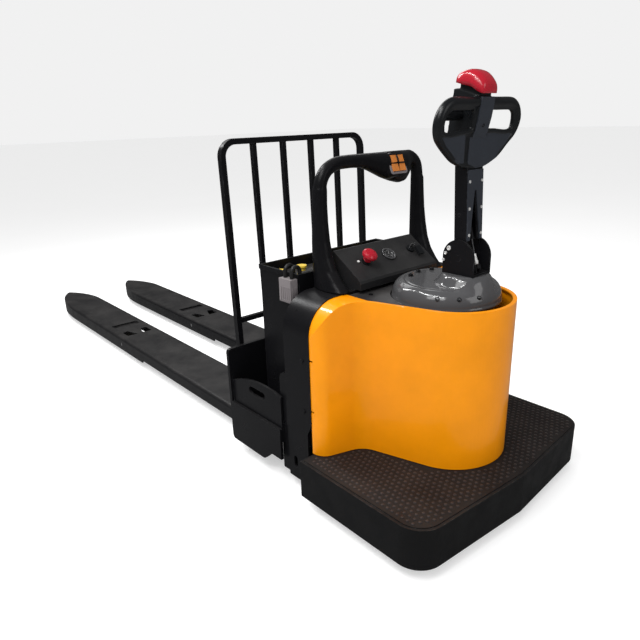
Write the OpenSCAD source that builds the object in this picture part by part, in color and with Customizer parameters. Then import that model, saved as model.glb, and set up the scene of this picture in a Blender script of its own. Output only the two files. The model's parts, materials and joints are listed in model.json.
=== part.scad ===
// Electric pallet truck with a standing platform, a tiller and long forks.
// Origin: on the floor, in the middle of the truck's length and width. +X points
// to the operator's platform, the forks point to -X, +Y is the right-hand side.
// The modules draw each piece with the steering axis at x = 0, and placed() moves
// it to the origin above.

/* [Platform] */
// Overall width of the standing platform
platform_w = 790; // [780:2:800]
// Height of the platform's top edge above the floor
platform_top = 155; // [153:1:157]
// Height of the platform skirt's lower edge
platform_bottom = 38; // [34:1:44]
// Distance from the steering axis to the front corners
platform_corner_x = 265; // [258:1:275]
// Distance from the steering axis to the blunt nose of the platform
platform_nose_x = 295; // [288:1:305]

/* [Chassis and hood] */
// Overall width of the portal frame
chassis_w = 696; // [690:2:700]
// Depth of the portal frame, front to back
chassis_depth = 110; // [108:1:112]
// Height of the portal frame's flat top
chassis_top = 614; // [610:1:616]
// Radius of the portal frame's shoulders
shoulder_r = 100; // [90:1:110]
// Radius of the hood's round nose
nose_r = 165; // [163:1:168]
// Distance from the steering axis to the centre of the nose
nose_x = 28; // [26:1:30]

/* [Forks] */
// Width over both forks
forks_w = 586; // [580:2:590]
// Width of one fork
fork_w = 201; // [196:1:206]
// Height of the fork tops when lowered
fork_top = 92; // [91:0.5:93]
// Distance from the steering axis back to the fork tips
fork_tip_x = 2719; // [2600:5:2760]
// Lift of the forks
lift_height = 115; // [100:1:120]

/* [Lift carriage and battery] */
// Distance from the steering axis back to the carriage's rear face
carriage_x = 596; // [590:1:600]
// Width of the lift carriage
carriage_w = 726; // [722:2:732]
// Height of the carriage plate's top edge
carriage_top = 374; // [365:1:385]
// Width of the battery case
battery_w = 524; // [510:2:530]
// Height of the battery case's rim above the floor
battery_top = 654; // [645:1:665]
// Height of the load backrest's top bar
backrest_top = 1028; // [980:2:1080]
// Width over the load backrest
backrest_w = 612; // [600:2:620]

/* [Grab bar and panel] */
// Height of the grab bar's top
grab_top = 977; // [960:1:990]
// Distance between the centres of the grab bar's legs
grab_w = 412; // [408:1:418]
// Diameter of the grab bar's tube
grab_d = 42; // [38:1:44]
// Width of the instrument panel
panel_w = 338; // [330:1:342]

/* [Steering and drive] */
// Diameter of the drive wheel
drive_wheel_d = 250; // [240:2:254]
// Width of the drive tyre
drive_wheel_w = 75; // [65:1:78]
// Outer radius of the round cover under the tiller
dome_r = 151; // [148:0.5:152]

/* [Tiller] */
// Height of the tiller's tilt pin
tilt_z = 724; // [722:1:727]
// Distance from the steering axis forward to the tilt pin
tilt_x = 61.5; // [59:0.5:63]
// Backward lean of the tiller arm at rest
arm_lean = 2.7; // [0:0.1:4]
// Forward tilt of the tiller head at rest
head_tilt = 8; // [5:0.5:10]
// Width over the tiller's two loop grips
loops_w = 346; // [338:2:352]

/* [Hidden] */
$fn = 64;
clear_r = 0.05;           // radial running clearance of every pin and shaft

// chassis and hood
joint_x = -189;           // plane where the hood meets the portal frame
chassis_rear = joint_x - chassis_depth;
sheet = 6;                // portal sheet thickness
hood_t = 4;               // hood wall
hood_gap = 3;             // step from the portal frame down to the hood
hood_bottom = platform_top + 4;
hood_top = chassis_top - hood_gap;
hood_hw = chassis_w / 2 - hood_gap;
flank_a1 = 17.4;          // plan angle of the hood's long flank
flank_a2 = 72.5;          // plan angle of the flank's steep part
fillet_r = 70;            // hollow between flank and steep part
corner_r = 45;            // rounded rear corner of the hood in plan
rim_w = 11;               // width of the hood's top rim
deck_z = platform_top - 3;

// forks and lifting linkage
fork_y = (forks_w - fork_w) / 2;
plate = 6;                // fork plate thickness
skirt_z = 42;             // lower edge of the fork skirts near the heel
deep_z = 30;              // lower edge of the fork skirts at the load wheels
step_x = -1472;           // where the skirts step down
slot_x = -1873;           // cross slot in the fork top
arm_x = -1700;            // load arm pivot
arm_z = 58;
arm_l = 180;              // pivot to load roller axle
roller_r = 41;
roller_w = 84;
arm_drop = arm_z - roller_r;
roller_x = arm_x - sqrt(arm_l * arm_l - arm_drop * arm_drop);
crank_x = -500;           // torsion shaft of the lifting linkage
crank_z = 98;
crank_r = 20;             // short crank arm and load arm lug
rod_z = crank_z - crank_r;
rod_r = 6;
cam_r = 30;
cam_x = crank_x + sqrt(arm_l * arm_l - arm_drop * arm_drop);
cam_z = crank_z - arm_drop;
pin_r = 8;

// lift carriage
tray_z = 150;
tray_t = 8;
ledge_z = 187;            // step between the side skirt and the upper side plate
carriage_bottom = 45;
side_front = -322;        // front end of the carriage's side plates
rail_x0 = -334;
rail_x1 = chassis_rear;
rail_y0 = 321;
rail_y1 = 344;
rail_top = 375;
battery_x0 = -515;
battery_x1 = -325;
cell_top = battery_top - 34;

// lift cylinder
ram_x = -244;
ram_r = 17.5;
ram_top = 440;

// panel
panel_x0 = -275;
panel_z0 = 715;
panel_x1 = -169;
panel_z1 = 644;
panel_a = atan2(panel_z0 - panel_z1, panel_x1 - panel_x0);
panel_u = 58;             // distance of the controls down the sloping face
estop_y = -92;
gauge_y = 11;
key_y = 110;
lamp_y = -117;
estop_u = panel_u + 8;

// grab bar
grab_x = -285;
grab_r = grab_d / 2;
grab_bend = 75;
pod_y = 72;
pod_u = 22;               // how far the button face sits below the bar's middle
pod_tilt = 69;            // lean of the button face away from straight up
button_pitch_y = 30;
button_pitch_z = 26;

// tiller
ear_t = 5;
ear_y = 39;
ear_r = 48.5;
bracket_z = 680;
arm_hw = 33;
arm_x0 = 45;
arm_x1 = 82;
arm_z0 = 768;
arm_z1 = 967;
wall = 4;
gas_top = [54, 835];
gas_low = [92, 700];
gas_l = norm(gas_top - gas_low);
gas_a = atan2(gas_low[0] - gas_top[0], gas_top[1] - gas_low[1]);
screw_rows = [784, 851, 918];

// tiller head, measured along its own tilted axes from the chin's lowest point
head_x = 61;
head_z = 953;
chin_r = 255;
loop_d = 26;
loop_corner = 60;
loop_mid = 105;
head_h = 165;
shelf_s = 84;             // top of the chin
column_hw = 27;
column_n0 = -75;
column_n1 = 9;
throttle_n = -42;
throttle_s = 118;

// drive unit
axle_z = drive_wheel_d / 2;
collar_r = 100;
mount_z = 300;
mount_t = 12;

// casters
caster_x = 150;
caster_y = 290;
caster_r = 50;
trail = 32;
crown_z = 134;

black = [0.06, 0.06, 0.065];
dark = [0.18, 0.18, 0.19];
amber = [0.98, 0.62, 0.03];
steel = [0.62, 0.63, 0.65];
red = [0.8, 0.08, 0.1];

// ---------- shared shapes ----------
module box(x0, x1, y0, y1, z0, z1) {
    translate([x0, y0, z0]) cube([x1 - x0, y1 - y0, z1 - z0]);
}
module rod_x(y, z, x0, x1, r) {
    translate([x0, y, z]) rotate([0, 90, 0]) cylinder(r = r, h = x1 - x0);
}
module rod_y(x, z, y0, y1, r) {
    translate([x, y1, z]) rotate([90, 0, 0]) cylinder(r = r, h = y1 - y0);
}
module rod_z(x, y, z0, z1, r) {
    translate([x, y, z0]) cylinder(r = r, h = z1 - z0);
}
// A (y, z) outline pushed along X
module across_x(x0, x1) {
    translate([x0, 0, 0]) rotate([90, 0, 90]) linear_extrude(x1 - x0) children();
}
// An (x, z) outline pushed along Y
module along_y(y0, y1) {
    translate([0, y1, 0]) rotate([90, 0, 0]) linear_extrude(y1 - y0) children();
}
// An (x, y) outline pushed along Z
module up_z(z0, z1) {
    translate([0, 0, z0]) linear_extrude(z1 - z0) children();
}
module both_sides() {
    children();
    mirror([0, 1, 0]) children();
}
// A straight slot with round ends in the (x, z) plane
module slot_xz(x, z, length, height) {
    translate([x, z]) {
        square([length - height, height], center = true);
        for (s = [-1, 1]) translate([s * (length - height) / 2, 0]) circle(d = height);
    }
}
module rounded_rect(w, h, r) {
    square([w - 2 * r, h], center = true);
    square([w, h - 2 * r], center = true);
    for (a = [-1, 1], b = [-1, 1]) translate([a * (w / 2 - r), b * (h / 2 - r)]) circle(r);
}

// ---------- outlines ----------
// Portal shape in (y, z): straight sides, round shoulders, flat top
module portal_2d(inset, bottom) {
    hw = chassis_w / 2 - inset;
    top = chassis_top - inset;
    r = shoulder_r - inset;
    translate([-hw, bottom]) square([2 * hw, top - r - bottom]);
    translate([-(hw - r), bottom]) square([2 * (hw - r), top - bottom]);
    for (s = [-1, 1]) translate([s * (hw - r), top - r]) circle(r, $fn = 96);
}

// Hood in plan: a round nose, long flanks, a hollow and a rounded rear corner
function plan_n(a) = [sin(a), -cos(a)];
function plan_d(a) = [-cos(a), -sin(a)];
hollow_c = let (t1 = [nose_x, 0] + nose_r * plan_n(flank_a1),
                dy = hood_hw + t1[1] - fillet_r * (cos(flank_a1) - cos(flank_a2))
                     - corner_r * (1 - cos(flank_a2)),
                dx = t1[0] - joint_x - 4 - fillet_r * (sin(flank_a2) - sin(flank_a1))
                     - corner_r * sin(flank_a2),
                k = cos(flank_a1) * sin(flank_a2) - cos(flank_a2) * sin(flank_a1),
                l1 = (dx * sin(flank_a2) - dy * cos(flank_a2)) / k)
           t1 + l1 * plan_d(flank_a1) + fillet_r * plan_n(flank_a1);
corner_c = [joint_x + 4, -hood_hw + corner_r];

function arc_points(c, r, a0, a1, n) =
    [for (i = [0 : n]) let (a = a0 + (a1 - a0) * i / n) c + r * [sin(a), -cos(a)]];
module hood_2d(inset) {
    r1 = fillet_r + inset;
    r2 = corner_r - inset;
    rn = nose_r - inset;
    rear = joint_x - 1;
    side = concat(arc_points([nose_x, 0], rn, 90, flank_a1, 20),
                  arc_points(hollow_c, -r1, flank_a1, flank_a2, 12),
                  arc_points(corner_c, r2, flank_a2, 0, 12),
                  [[rear, corner_c[1] - r2]]);
    n = len(side) - 1;
    polygon(concat(side, [for (i = [n : -1 : 1]) [side[i][0], -side[i][1]]]));
}

// Platform in plan: square rear corners, big front corners, blunt nose
nose_a = atan2(platform_nose_x - platform_corner_x, platform_w / 2);
corner_x = platform_corner_x - 75 * (1 + sin(nose_a)) / cos(nose_a);
function platform_side(r) = [corner_x + r * cos(nose_a), platform_w / 2 - 75 + r * sin(nose_a)];
function platform_tip(r) = platform_side(r)[0] + platform_side(r)[1] * tan(nose_a);
nose_tip_x = platform_tip(75);
module platform_2d(inset) {
    hw = platform_w / 2 - inset;
    rear = joint_x + 1 + inset;
    r = 75 - inset;
    cy = hw - r;
    p = platform_side(r);
    polygon([[rear, -hw], [corner_x, -hw], [corner_x, -cy], [p[0], -p[1]],
             [platform_tip(r), 0], p, [corner_x, cy], [corner_x, hw], [rear, hw]]);
    for (s = [-1, 1]) translate([corner_x, s * cy]) circle(r);
}

// Fork in plan, about its own centre line: parallel sides and a round pointed tip
tip_l = 400;
function tip_hw(t, hw) = hw * pow(1 - pow(1 - t / tip_l, 2.8), 0.85);
module fork_2d(inset) {
    hw = fork_w / 2 - inset;
    steps = [for (i = [0 : 12]) tip_l * pow(i / 12, 2)];
    tip = -fork_tip_x + inset;
    side = [for (t = steps) [tip + t, -tip_hw(t, hw)]];
    back = [for (i = [0 : 12]) [side[12 - i][0], -side[12 - i][1]]];
    polygon(concat(side, [[-carriage_x, -hw], [-carriage_x, hw]], back));
}

// ---------- chassis ----------
module chassis_frame() {
    color(black) {
        portal_shell();
        bulkhead();
        base_plate();
        drive_mount();
        both_sides() guide_rail();
        both_sides() cam_track();
    }
}
module portal_shell() {
    hw = chassis_w / 2;
    difference() {
        across_x(chassis_rear, joint_x) difference() {
            portal_2d(0, platform_bottom);
            portal_2d(sheet, platform_bottom - 1);
        }
        along_y(-hw - 1, hw + 1) polygon([[joint_x - 18, 0], [joint_x - 18, 212],
                                          [joint_x + 1, 250], [joint_x + 1, 0]]);
        along_y(-hw - 1, hw + 1) translate([-267, 96]) circle(d = 16);
        along_y(-hw - 1, hw + 1) translate([-267, 96]) square([16, 22], center = true);
        for (s = [-1, 1]) along_y(-hw - 1, hw + 1) translate([-267, 96 + s * 11]) circle(8);
        for (z = [285, 442]) rod_y(-219, z, -hw - 1, hw + 1, 3.2);
    }
}
module bulkhead() {
    difference() {
        across_x(chassis_rear, chassis_rear + sheet) portal_2d(sheet / 2, platform_bottom);
        box(chassis_rear - 1, chassis_rear + sheet + 1, -46, 46, 430, 592);
    }
}
module base_plate() {
    hw = chassis_w / 2 - sheet / 2;
    box(chassis_rear + 1, joint_x - 20, -hw, hw, platform_bottom, platform_bottom + 12);
}
// Shelf that carries the slewing collar of the drive unit, with two ribs
module drive_mount() {
    difference() {
        union() {
            up_z(mount_z, mount_z + mount_t) {
                translate([chassis_rear + 1, -128]) square([-chassis_rear - 1, 256]);
                circle(128);
            }
            both_sides() along_y(118, 128) polygon([[chassis_rear + 1, mount_z + 1],
                [chassis_rear + 1, 150], [-200, 150], [-142, 240], [-142, mount_z + 1]]);
        }
        rod_z(0, 0, mount_z - 1, mount_z + mount_t + 1, collar_r + clear_r);
        box(ram_x - 34, ram_x + 34, -34, 34, mount_z - 1, mount_z + mount_t + 1);
    }
}
// Channel with a rounded top that guides the carriage's shoes
module guide_rail() {
    difference() {
        along_y(rail_y0, rail_y1) {
            translate([rail_x0, carriage_bottom])
                square([rail_x1 - rail_x0 + 1, rail_top - 24 - carriage_bottom]);
            translate([rail_x0 + 24, carriage_bottom])
                square([rail_x1 - rail_x0 - 23, rail_top - carriage_bottom]);
            translate([rail_x0 + 24, rail_top - 24]) circle(24);
        }
        box(rail_x0 + 6, rail_x1 - 6, rail_y0 - 1, rail_y1 - 6, 0, rail_top - 8);
    }
}
// Plate that the torsion shaft's cam bears up against
module cam_track() {
    box(cam_x - 61, chassis_rear + 1, fork_y - 13, fork_y + 13,
        cam_z + cam_r + 0.5, cam_z + cam_r + 12.5);
}

// ---------- platform ----------
module platform_frame() {
    skirt = 10;
    color(black) {
        difference() {
            up_z(platform_bottom, platform_top) platform_2d(0);
            up_z(platform_bottom - 1, deck_z - 8) platform_2d(skirt);
            up_z(deck_z, platform_top + 1) platform_2d(8);
            rod_z(0, 0, deck_z - 20, platform_top, 150);
            box(joint_x, joint_x + 12, -chassis_w / 2 + 30, chassis_w / 2 - 30,
                platform_bottom - 1, deck_z - 8);
        }
        both_sides() {
            caster_plate();
            difference() {
                box(joint_x - 80, joint_x + 60, 150, 230, platform_bottom + 12,
                    platform_bottom + 20);
                for (x = [-250, -225]) rod_z(x, 190, 0, 100, 5.5);
            }
            box(joint_x + 50, joint_x + 60, 150, 230, platform_bottom + 12, deck_z - 7);
        }
    }
}
module platform_mat() {
    color(dark) up_z(deck_z, deck_z + 5) difference() {
        platform_2d(8.5);
        hood_2d(16);
    }
}

// ---------- hood and covers ----------
module hood_solid(inset, z0) {
    intersection() {
        up_z(z0, hood_top - inset) hood_2d(inset);
        across_x(joint_x - inset, platform_nose_x) portal_2d(hood_gap + inset, 0);
    }
}
module hood() {
    color(amber) difference() {
        hood_solid(0, hood_bottom);
        hood_solid(hood_t, hood_bottom - 1);
        up_z(hood_top - 20, hood_top + 1) intersection() {
            hood_2d(rim_w);
            translate([joint_x - 2, -205]) square([400, 410]);
        }
        for (z = [294, 450]) box(joint_x - 1, joint_x + 11, -400, 400, z - 3, z + 3);
    }
}
module top_cover() {
    color(dark) difference() {
        up_z(hood_top - hood_t - 4, hood_top - hood_t) intersection() {
            hood_2d(hood_t + 2);
            translate([joint_x + 2, -215]) square([-joint_x + 40, 430]);
        }
        rod_z(0, 0, hood_top - 20, hood_top, dome_r + 3);
        for (y = [-1, 1]) rod_z(-144, y * 150, hood_top - 20, hood_top, 3.2);
    }
}

// ---------- instrument panel ----------
// Puts its children on the panel's sloping face: x down the slope, z outward
module on_panel(u, y) {
    translate([panel_x0, y, panel_z0]) rotate([0, panel_a, 0]) translate([u, 0, 0]) children();
}
module panel_profile(t) {
    polygon([[-289 + t, chassis_top], [-289 + t, 700], [panel_x0 - 4 + t / 2, panel_z0 - t],
             [panel_x0 + t / 4, panel_z0 - 1.2 * t], [panel_x1 - t / 2, panel_z1 - t],
             [-165 - t, 637], [-165 - t, chassis_top + 4], [joint_x - t, chassis_top + 4],
             [joint_x - t, chassis_top]]);
}
module panel_box() {
    hw = panel_w / 2;
    t = 3;
    color(black) difference() {
        along_y(-hw, hw) panel_profile(0);
        along_y(-hw + t, hw - t) panel_profile(t);
        on_panel(estop_u, estop_y) translate([0, 0, -8]) cylinder(r = 11, h = 16);
        on_panel(panel_u, gauge_y) translate([0, 0, -8]) cylinder(r = 17, h = 16);
        on_panel(panel_u + 1, key_y) translate([0, 0, -8]) cylinder(r = 10, h = 16);
        on_panel(panel_u, lamp_y) translate([0, 0, -8]) cylinder(r = 3.5, h = 16);
    }
}
module panel_gauge() {
    color(black) on_panel(panel_u, gauge_y) {
        translate([0, 0, -22]) cylinder(r = 16.9, h = 22.1);
        translate([0, 0, 0.1]) difference() {
            cylinder(r = 23.5, h = 4);
            translate([0, 0, 1.5]) cylinder(r = 18, h = 3);
        }
    }
}
module estop_base() {
    color(black) on_panel(estop_u, estop_y) difference() {
        union() {
            translate([0, 0, -26]) cylinder(r = 10.9, h = 26.1);
            translate([0, 0, 0.1]) cylinder(r = 15, h = 3.4);
        }
        translate([0, 0, -20]) cylinder(r = 6 + clear_r, h = 30);
    }
}
module estop_button() {
    color(red) on_panel(estop_u, estop_y) {
        translate([0, 0, -13.5]) cylinder(r = 6, h = 24.5);
        translate([0, 0, 10]) cylinder(r = 13, h = 12);
        translate([0, 0, 20]) rotate_extrude() polygon([[0, 0], [17, 0], [22, 4],
            [23.5, 9], [22, 14], [17, 18], [9, 20], [0, 20.5]]);
    }
}
module key_switch() {
    color(steel) on_panel(panel_u + 1, key_y) difference() {
        union() {
            translate([0, 0, -24]) cylinder(r = 9.9, h = 24.1);
            translate([0, 0, 0.1]) cylinder(r = 13, h = 6);
        }
        translate([0, 0, -10]) cylinder(r = 4 + clear_r, h = 20);
    }
}
module ignition_key() {
    color(steel) on_panel(panel_u + 1, key_y) {
        translate([0, 0, -8]) cylinder(r = 4, h = 18);
        difference() {
            translate([-1.2, -9, 9]) cube([2.4, 19, 16]);
            translate([-2, 5, 18]) rotate([0, 90, 0]) cylinder(r = 3, h = 4);
        }
    }
}
// Key ring through the key's bow, with a plain tag that hangs down the panel's slope
module key_tag() {
    color(dark) on_panel(panel_u + 1, key_y) translate([0, 13, 18]) {
        rotate_extrude() translate([8, 0]) circle(1);
        translate([7.5, -11, -4]) rotate([0, 12, 0]) cube([30, 22, 8]);
    }
}
module indicator_lamp() {
    color("white") on_panel(panel_u, lamp_y) {
        translate([0, 0, -8]) cylinder(r = 3.4, h = 8.1);
        translate([0, 0, 0.1]) cylinder(r = 4, h = 2);
    }
}

// ---------- grab bar ----------
module grab_tube(r) {
    leg_y = grab_w / 2;
    top_z = grab_top - grab_r;
    both_sides() {
        rod_z(grab_x, leg_y, chassis_top + 60, top_z - grab_bend, r);
        translate([grab_x, leg_y - grab_bend, top_z - grab_bend]) rotate([90, 0, 90])
            rotate_extrude(angle = 90) translate([grab_bend, 0]) circle(r);
    }
    rod_y(grab_x, top_z, -leg_y + grab_bend, leg_y - grab_bend, r);
}
module grab_foot() {
    leg_y = grab_w / 2;
    hull() {
        translate([grab_x, leg_y, chassis_top + 110]) cylinder(r = grab_r, h = 2, $fn = 32);
        box(-298, -215, leg_y - 19, leg_y + 24, chassis_top, chassis_top + 8);
        box(-298, -190, leg_y - 19, leg_y + 24, chassis_top, chassis_top + 3);
    }
}
module grab_bar() {
    color(black) {
        grab_tube(grab_r);
        both_sides() grab_foot();
    }
}
// Puts its children on the pod's button face: y along the bar, z outward
module on_pod(u, y) {
    translate([grab_x, pod_y + y, grab_top - grab_r]) rotate([0, pod_tilt, 0])
        translate([pod_u + u, 0, 0]) children();
}
module button_pod() {
    color(black) difference() {
        union() {
            hull() {
                rod_y(grab_x, grab_top - grab_r, 5, 135, grab_r + 3);
                rod_y(grab_x + 2, grab_top - grab_r - 38, 35, 110, 22);
                on_pod(0, 0) translate([-30, -44, 20]) cube([58, 88, 10]);
            }
        }
        grab_tube(grab_r + 0.05);
        for (i = [-1, 1], j = [-1, 1])
            on_pod(i * button_pitch_z / 2, j * button_pitch_y / 2)
                translate([-11.4, -13.4, 24]) cube([22.8, 26.8, 10]);
    }
}
module pod_button(i, j) {
    color("orange") on_pod(i * button_pitch_z / 2, j * button_pitch_y / 2)
        translate([-11, -13, 27]) cube([22, 26, 5.5]);
}

// ---------- hydraulics and electrics inside the portal frame ----------
module lift_cylinder() {
    z0 = platform_bottom + 12;
    color(dark) difference() {
        union() {
            rod_z(ram_x, 0, z0, 400, 30);
            rod_z(ram_x, 0, z0, z0 + 14, 38);
            rod_z(ram_x, 0, 380, 405, 33);
        }
        rod_z(ram_x, 0, 110, 410, ram_r + clear_r);
    }
}
module lift_rod() {
    color(steel) rod_z(ram_x, 0, 125, ram_top, ram_r);
}
module pump_unit() {
    z0 = platform_bottom + 21;
    color(dark) {
        rod_z(ram_x, 200, z0, z0 + 170, 40);
        box(ram_x - 38, ram_x + 38, 160, 240, z0 + 170, z0 + 200);
        box(ram_x - 42, ram_x + 42, 145, 280, z0 + 200, z0 + 340);
    }
}
module controller() {
    color(steel) {
        box(-292, -280, -300, -140, 110, 330);
        box(-280, -222, -290, -150, 120, 320);
        for (i = [0 : 6]) box(-222, -206, -288 + 22 * i, -284 + 22 * i, 120, 320);
    }
}
module chassis_screws() {
    hw = chassis_w / 2;
    color(steel) {
        both_sides() for (z = [285, 442]) {
            rod_y(-219, z, hw - 9, hw + 0.05, 3);
            rod_y(-219, z, hw + 0.05, hw + 3, 6);
        }
        both_sides() {
            rod_z(-144, 150, hood_top - 14, hood_top - hood_t + 0.05, 3);
            rod_z(-144, 150, hood_top - hood_t + 0.05, hood_top - 1, 6);
        }
    }
}

// ---------- casters ----------
// Welded plate under the deck with the swivel bore
module caster_plate() {
    z1 = deck_z - 8;
    difference() {
        box(caster_x - 50, caster_x + 50, caster_y - 45, caster_y + 45, z1 - 8, z1 + 1);
        rod_z(caster_x, caster_y, crown_z, z1, pin_r + clear_r);
    }
}
module caster_fork(y) {
    wx = caster_x - trail;
    color(steel) {
        rod_z(caster_x, y, crown_z - 2, deck_z - 9, pin_r);
        rod_z(caster_x, y, crown_z - 10, crown_z, 30);
        box(wx - 18, caster_x + 20, y - 24, y + 24, crown_z - 16, crown_z - 8);
        for (s = [-1, 1]) translate([0, y + s * 21.5, 0]) along_y(-2.5, 2.5) {
            polygon([[wx - 14, caster_r], [wx + 14, caster_r], [caster_x + 20, crown_z - 9],
                     [wx - 18, crown_z - 9]]);
            translate([wx, caster_r]) circle(14);
        }
        rod_y(wx, caster_r, y - 25, y + 25, pin_r);
    }
}
module caster_wheel(y) {
    color(dark) difference() {
        rod_y(caster_x - trail, caster_r, y - 17, y + 17, caster_r);
        rod_y(caster_x - trail, caster_r, y - 18, y + 18, pin_r + clear_r);
    }
}

// ---------- lift carriage ----------
module lift_carriage() {
    color(black) {
        rear_plate();
        both_sides() {
            side_skirt();
            side_plate();
            guide_shoes();
            shaft_bearing();
        }
        box(-carriage_x + 11, rail_x0 - 3, -carriage_w / 2 + 10, carriage_w / 2 - 10,
            tray_z, tray_z + tray_t);
        box(rail_x0 - 4, -308, -rail_y0 + 3, rail_y0 - 3, tray_z, tray_z + tray_t);
        box(-320, -308, -rail_y0 + 11, rail_y0 - 11, tray_z, ram_top + 30);
        box(-310, ram_x + 24, -40, 40, ram_top, ram_top + 30);
    }
}
module rear_plate() {
    hw = carriage_w / 2;
    difference() {
        across_x(-carriage_x, -carriage_x + 12) translate([0, (carriage_top + carriage_bottom) / 2])
            difference() {
                rounded_rect(2 * hw, carriage_top - carriage_bottom, 14);
            }
        both_sides() rod_x(fork_y, rod_z, -carriage_x - 1, -carriage_x + 13, 12);
    }
}
module side_skirt() {
    y1 = carriage_w / 2;
    along_y(y1 - 10, y1) polygon([[-carriage_x + 1, carriage_bottom + 8],
        [-carriage_x + 8, carriage_bottom], [-418, carriage_bottom], [-408, carriage_bottom + 4],
        [-372, 81], [side_front, 81], [side_front, ledge_z], [-carriage_x + 1, ledge_z]]);
}
module side_plate() {
    y1 = carriage_w / 2 - 9;
    r = 420;
    along_y(y1 - 8, y1) difference() {
        intersection() {
            translate([-carriage_x + 1, 140]) square([carriage_x + side_front - 1, 200]);
            translate([-410, 303 - r]) circle(r, $fn = 160);
        }
        slot_xz(-446, 264, 86, 26);
    }
}
module guide_shoes() {
    for (z = [155, 203]) box(rail_x0 + 6.5, rail_x1 - 6.5, rail_y0 - 13, rail_y1 - 6.5, z, z + 44);
}
module shaft_bearing() {
    difference() {
        union() {
            box(crank_x - 22, crank_x + 22, 96, 122, crank_z, tray_z + 1);
            rod_y(crank_x, crank_z, 96, 122, 22);
        }
        rod_y(crank_x, crank_z, 95, 123, 14 + clear_r);
    }
}

// ---------- forks ----------
module fork_section(inset) {
    hw = fork_w / 2 - inset;
    top = fork_top - inset;
    r = 14 - inset;
    translate([-hw, 0]) square([2 * hw, top - r]);
    translate([-hw + r, 0]) square([2 * (hw - r), top]);
    for (s = [-1, 1]) translate([s * (hw - r), top - r]) circle(r);
}
module fork_openings() {
    hw = fork_w / 2;
    translate([slot_x - 20, -65, fork_top - 20]) cube([40, 131, 40]);
    for (s = [-1, 1]) translate([0, 0, fork_top - 20]) linear_extrude(40)
        polygon([[-1758, s * 63], [-1766, s * 36], [-1697, s * 12], [-1697, s * 62]]);
    rod_y(arm_x, arm_z, -hw - 1, hw + 1, pin_r + clear_r);
}
module fork() {
    difference() {
        intersection() {
            across_x(-fork_tip_x - 1, -carriage_x) fork_section(0);
            up_z(deep_z, fork_top) fork_2d(0);
        }
        intersection() {
            across_x(-fork_tip_x - 1, -carriage_x + 1) fork_section(plate);
            up_z(deep_z - 1, fork_top) fork_2d(plate);
        }
        box(step_x, -carriage_x + 1, -fork_w, fork_w, 0, skirt_z);
        along_y(-fork_w, fork_w) polygon([[-fork_tip_x - 1, 0], [-fork_tip_x - 1, 62],
            [-fork_tip_x + 170, deep_z - 0.5], [-fork_tip_x + 170, 0]]);
        fork_openings();
    }
}
module fork_at(s) {
    color(black) translate([0, s * fork_y, 0]) fork();
}

// ---------- lifting linkage ----------
module torsion_shaft() {
    color(steel) {
        rod_y(crank_x, crank_z, -fork_y - 20, fork_y + 20, 14);
        for (s = [-1, 1]) translate([0, s * fork_y, 0]) {
            along_y(-8, 8) {
                translate([crank_x, crank_z]) circle(19);
                translate([crank_x, rod_z]) circle(8);
                cam_2d();
                polygon([[crank_x, crank_z + 8], [cam_x, cam_z + 8], [cam_x, cam_z - 8],
                         [crank_x, crank_z - 8]]);
            }
            rod_y(crank_x, rod_z, -14, 14, 4);
        }
    }
}
// Only the cam's upper rear part is needed, because the lever turns downward
module cam_2d() {
    intersection() {
        translate([cam_x, cam_z]) circle(cam_r);
        translate([cam_x - cam_r, cam_z - 16]) square([cam_r + 15, cam_r + 16]);
    }
}
// Push rod with an open fork at each end: front end open upward, rear end downward
module push_rod() {
    color(steel) {
        rod_x(0, rod_z, arm_x + 28, crank_x - 14, rod_r);
        difference() {
            box(crank_x - 16, crank_x + 12, -14, 14, rod_z - 8, rod_z + 5.5);
            box(crank_x - 12.5, crank_x + 13, -8.6, 8.6, 0, 200);
            box(crank_x - 5, crank_x + 5, -15, 15, rod_z - 4.5, rod_z + 6);
        }
        difference() {
            box(arm_x - 14, arm_x + 30, -14, 14, rod_z - 6, rod_z + 6);
            box(arm_x - 15, arm_x + 12, -8.6, 8.6, 0, 200);
            box(arm_x - 5, arm_x + 5, -15, 15, rod_z - 7, rod_z + 4.5);
        }
    }
}
module push_rod_at(s) {
    translate([0, s * fork_y, 0]) push_rod();
}
module load_arm() {
    cheek = 8;
    y0 = roller_w / 2 + 2;
    color(steel) {
        rod_y(arm_x, arm_z, -fork_w / 2 + 1, fork_w / 2 - 1, pin_r);
        rod_y(arm_x, arm_z, -y0 - cheek, y0 + cheek, 12);
        rod_y(roller_x, roller_r, -y0 - cheek, y0 + cheek, pin_r);
        both_sides() along_y(y0, y0 + cheek) {
            translate([arm_x, arm_z]) circle(13);
            translate([roller_x, roller_r]) circle(14);
            polygon([[arm_x, arm_z + 12], [arm_x, arm_z - 12], [roller_x, roller_r - 12],
                     [roller_x, roller_r + 12]]);
        }
        along_y(-8, 8) {
            translate([arm_x, arm_z + crank_r]) circle(7);
            translate([arm_x - 7, arm_z]) square([14, crank_r]);
        }
        rod_y(arm_x, arm_z + crank_r, -14, 14, 4);
    }
}
module load_arm_at(s) {
    translate([0, s * fork_y, 0]) load_arm();
}
module load_roller(s) {
    color(amber) translate([0, s * fork_y, 0]) difference() {
        rod_y(roller_x, roller_r, -roller_w / 2, roller_w / 2, roller_r);
        rod_y(roller_x, roller_r, -roller_w, roller_w, pin_r + clear_r);
    }
}

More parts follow.
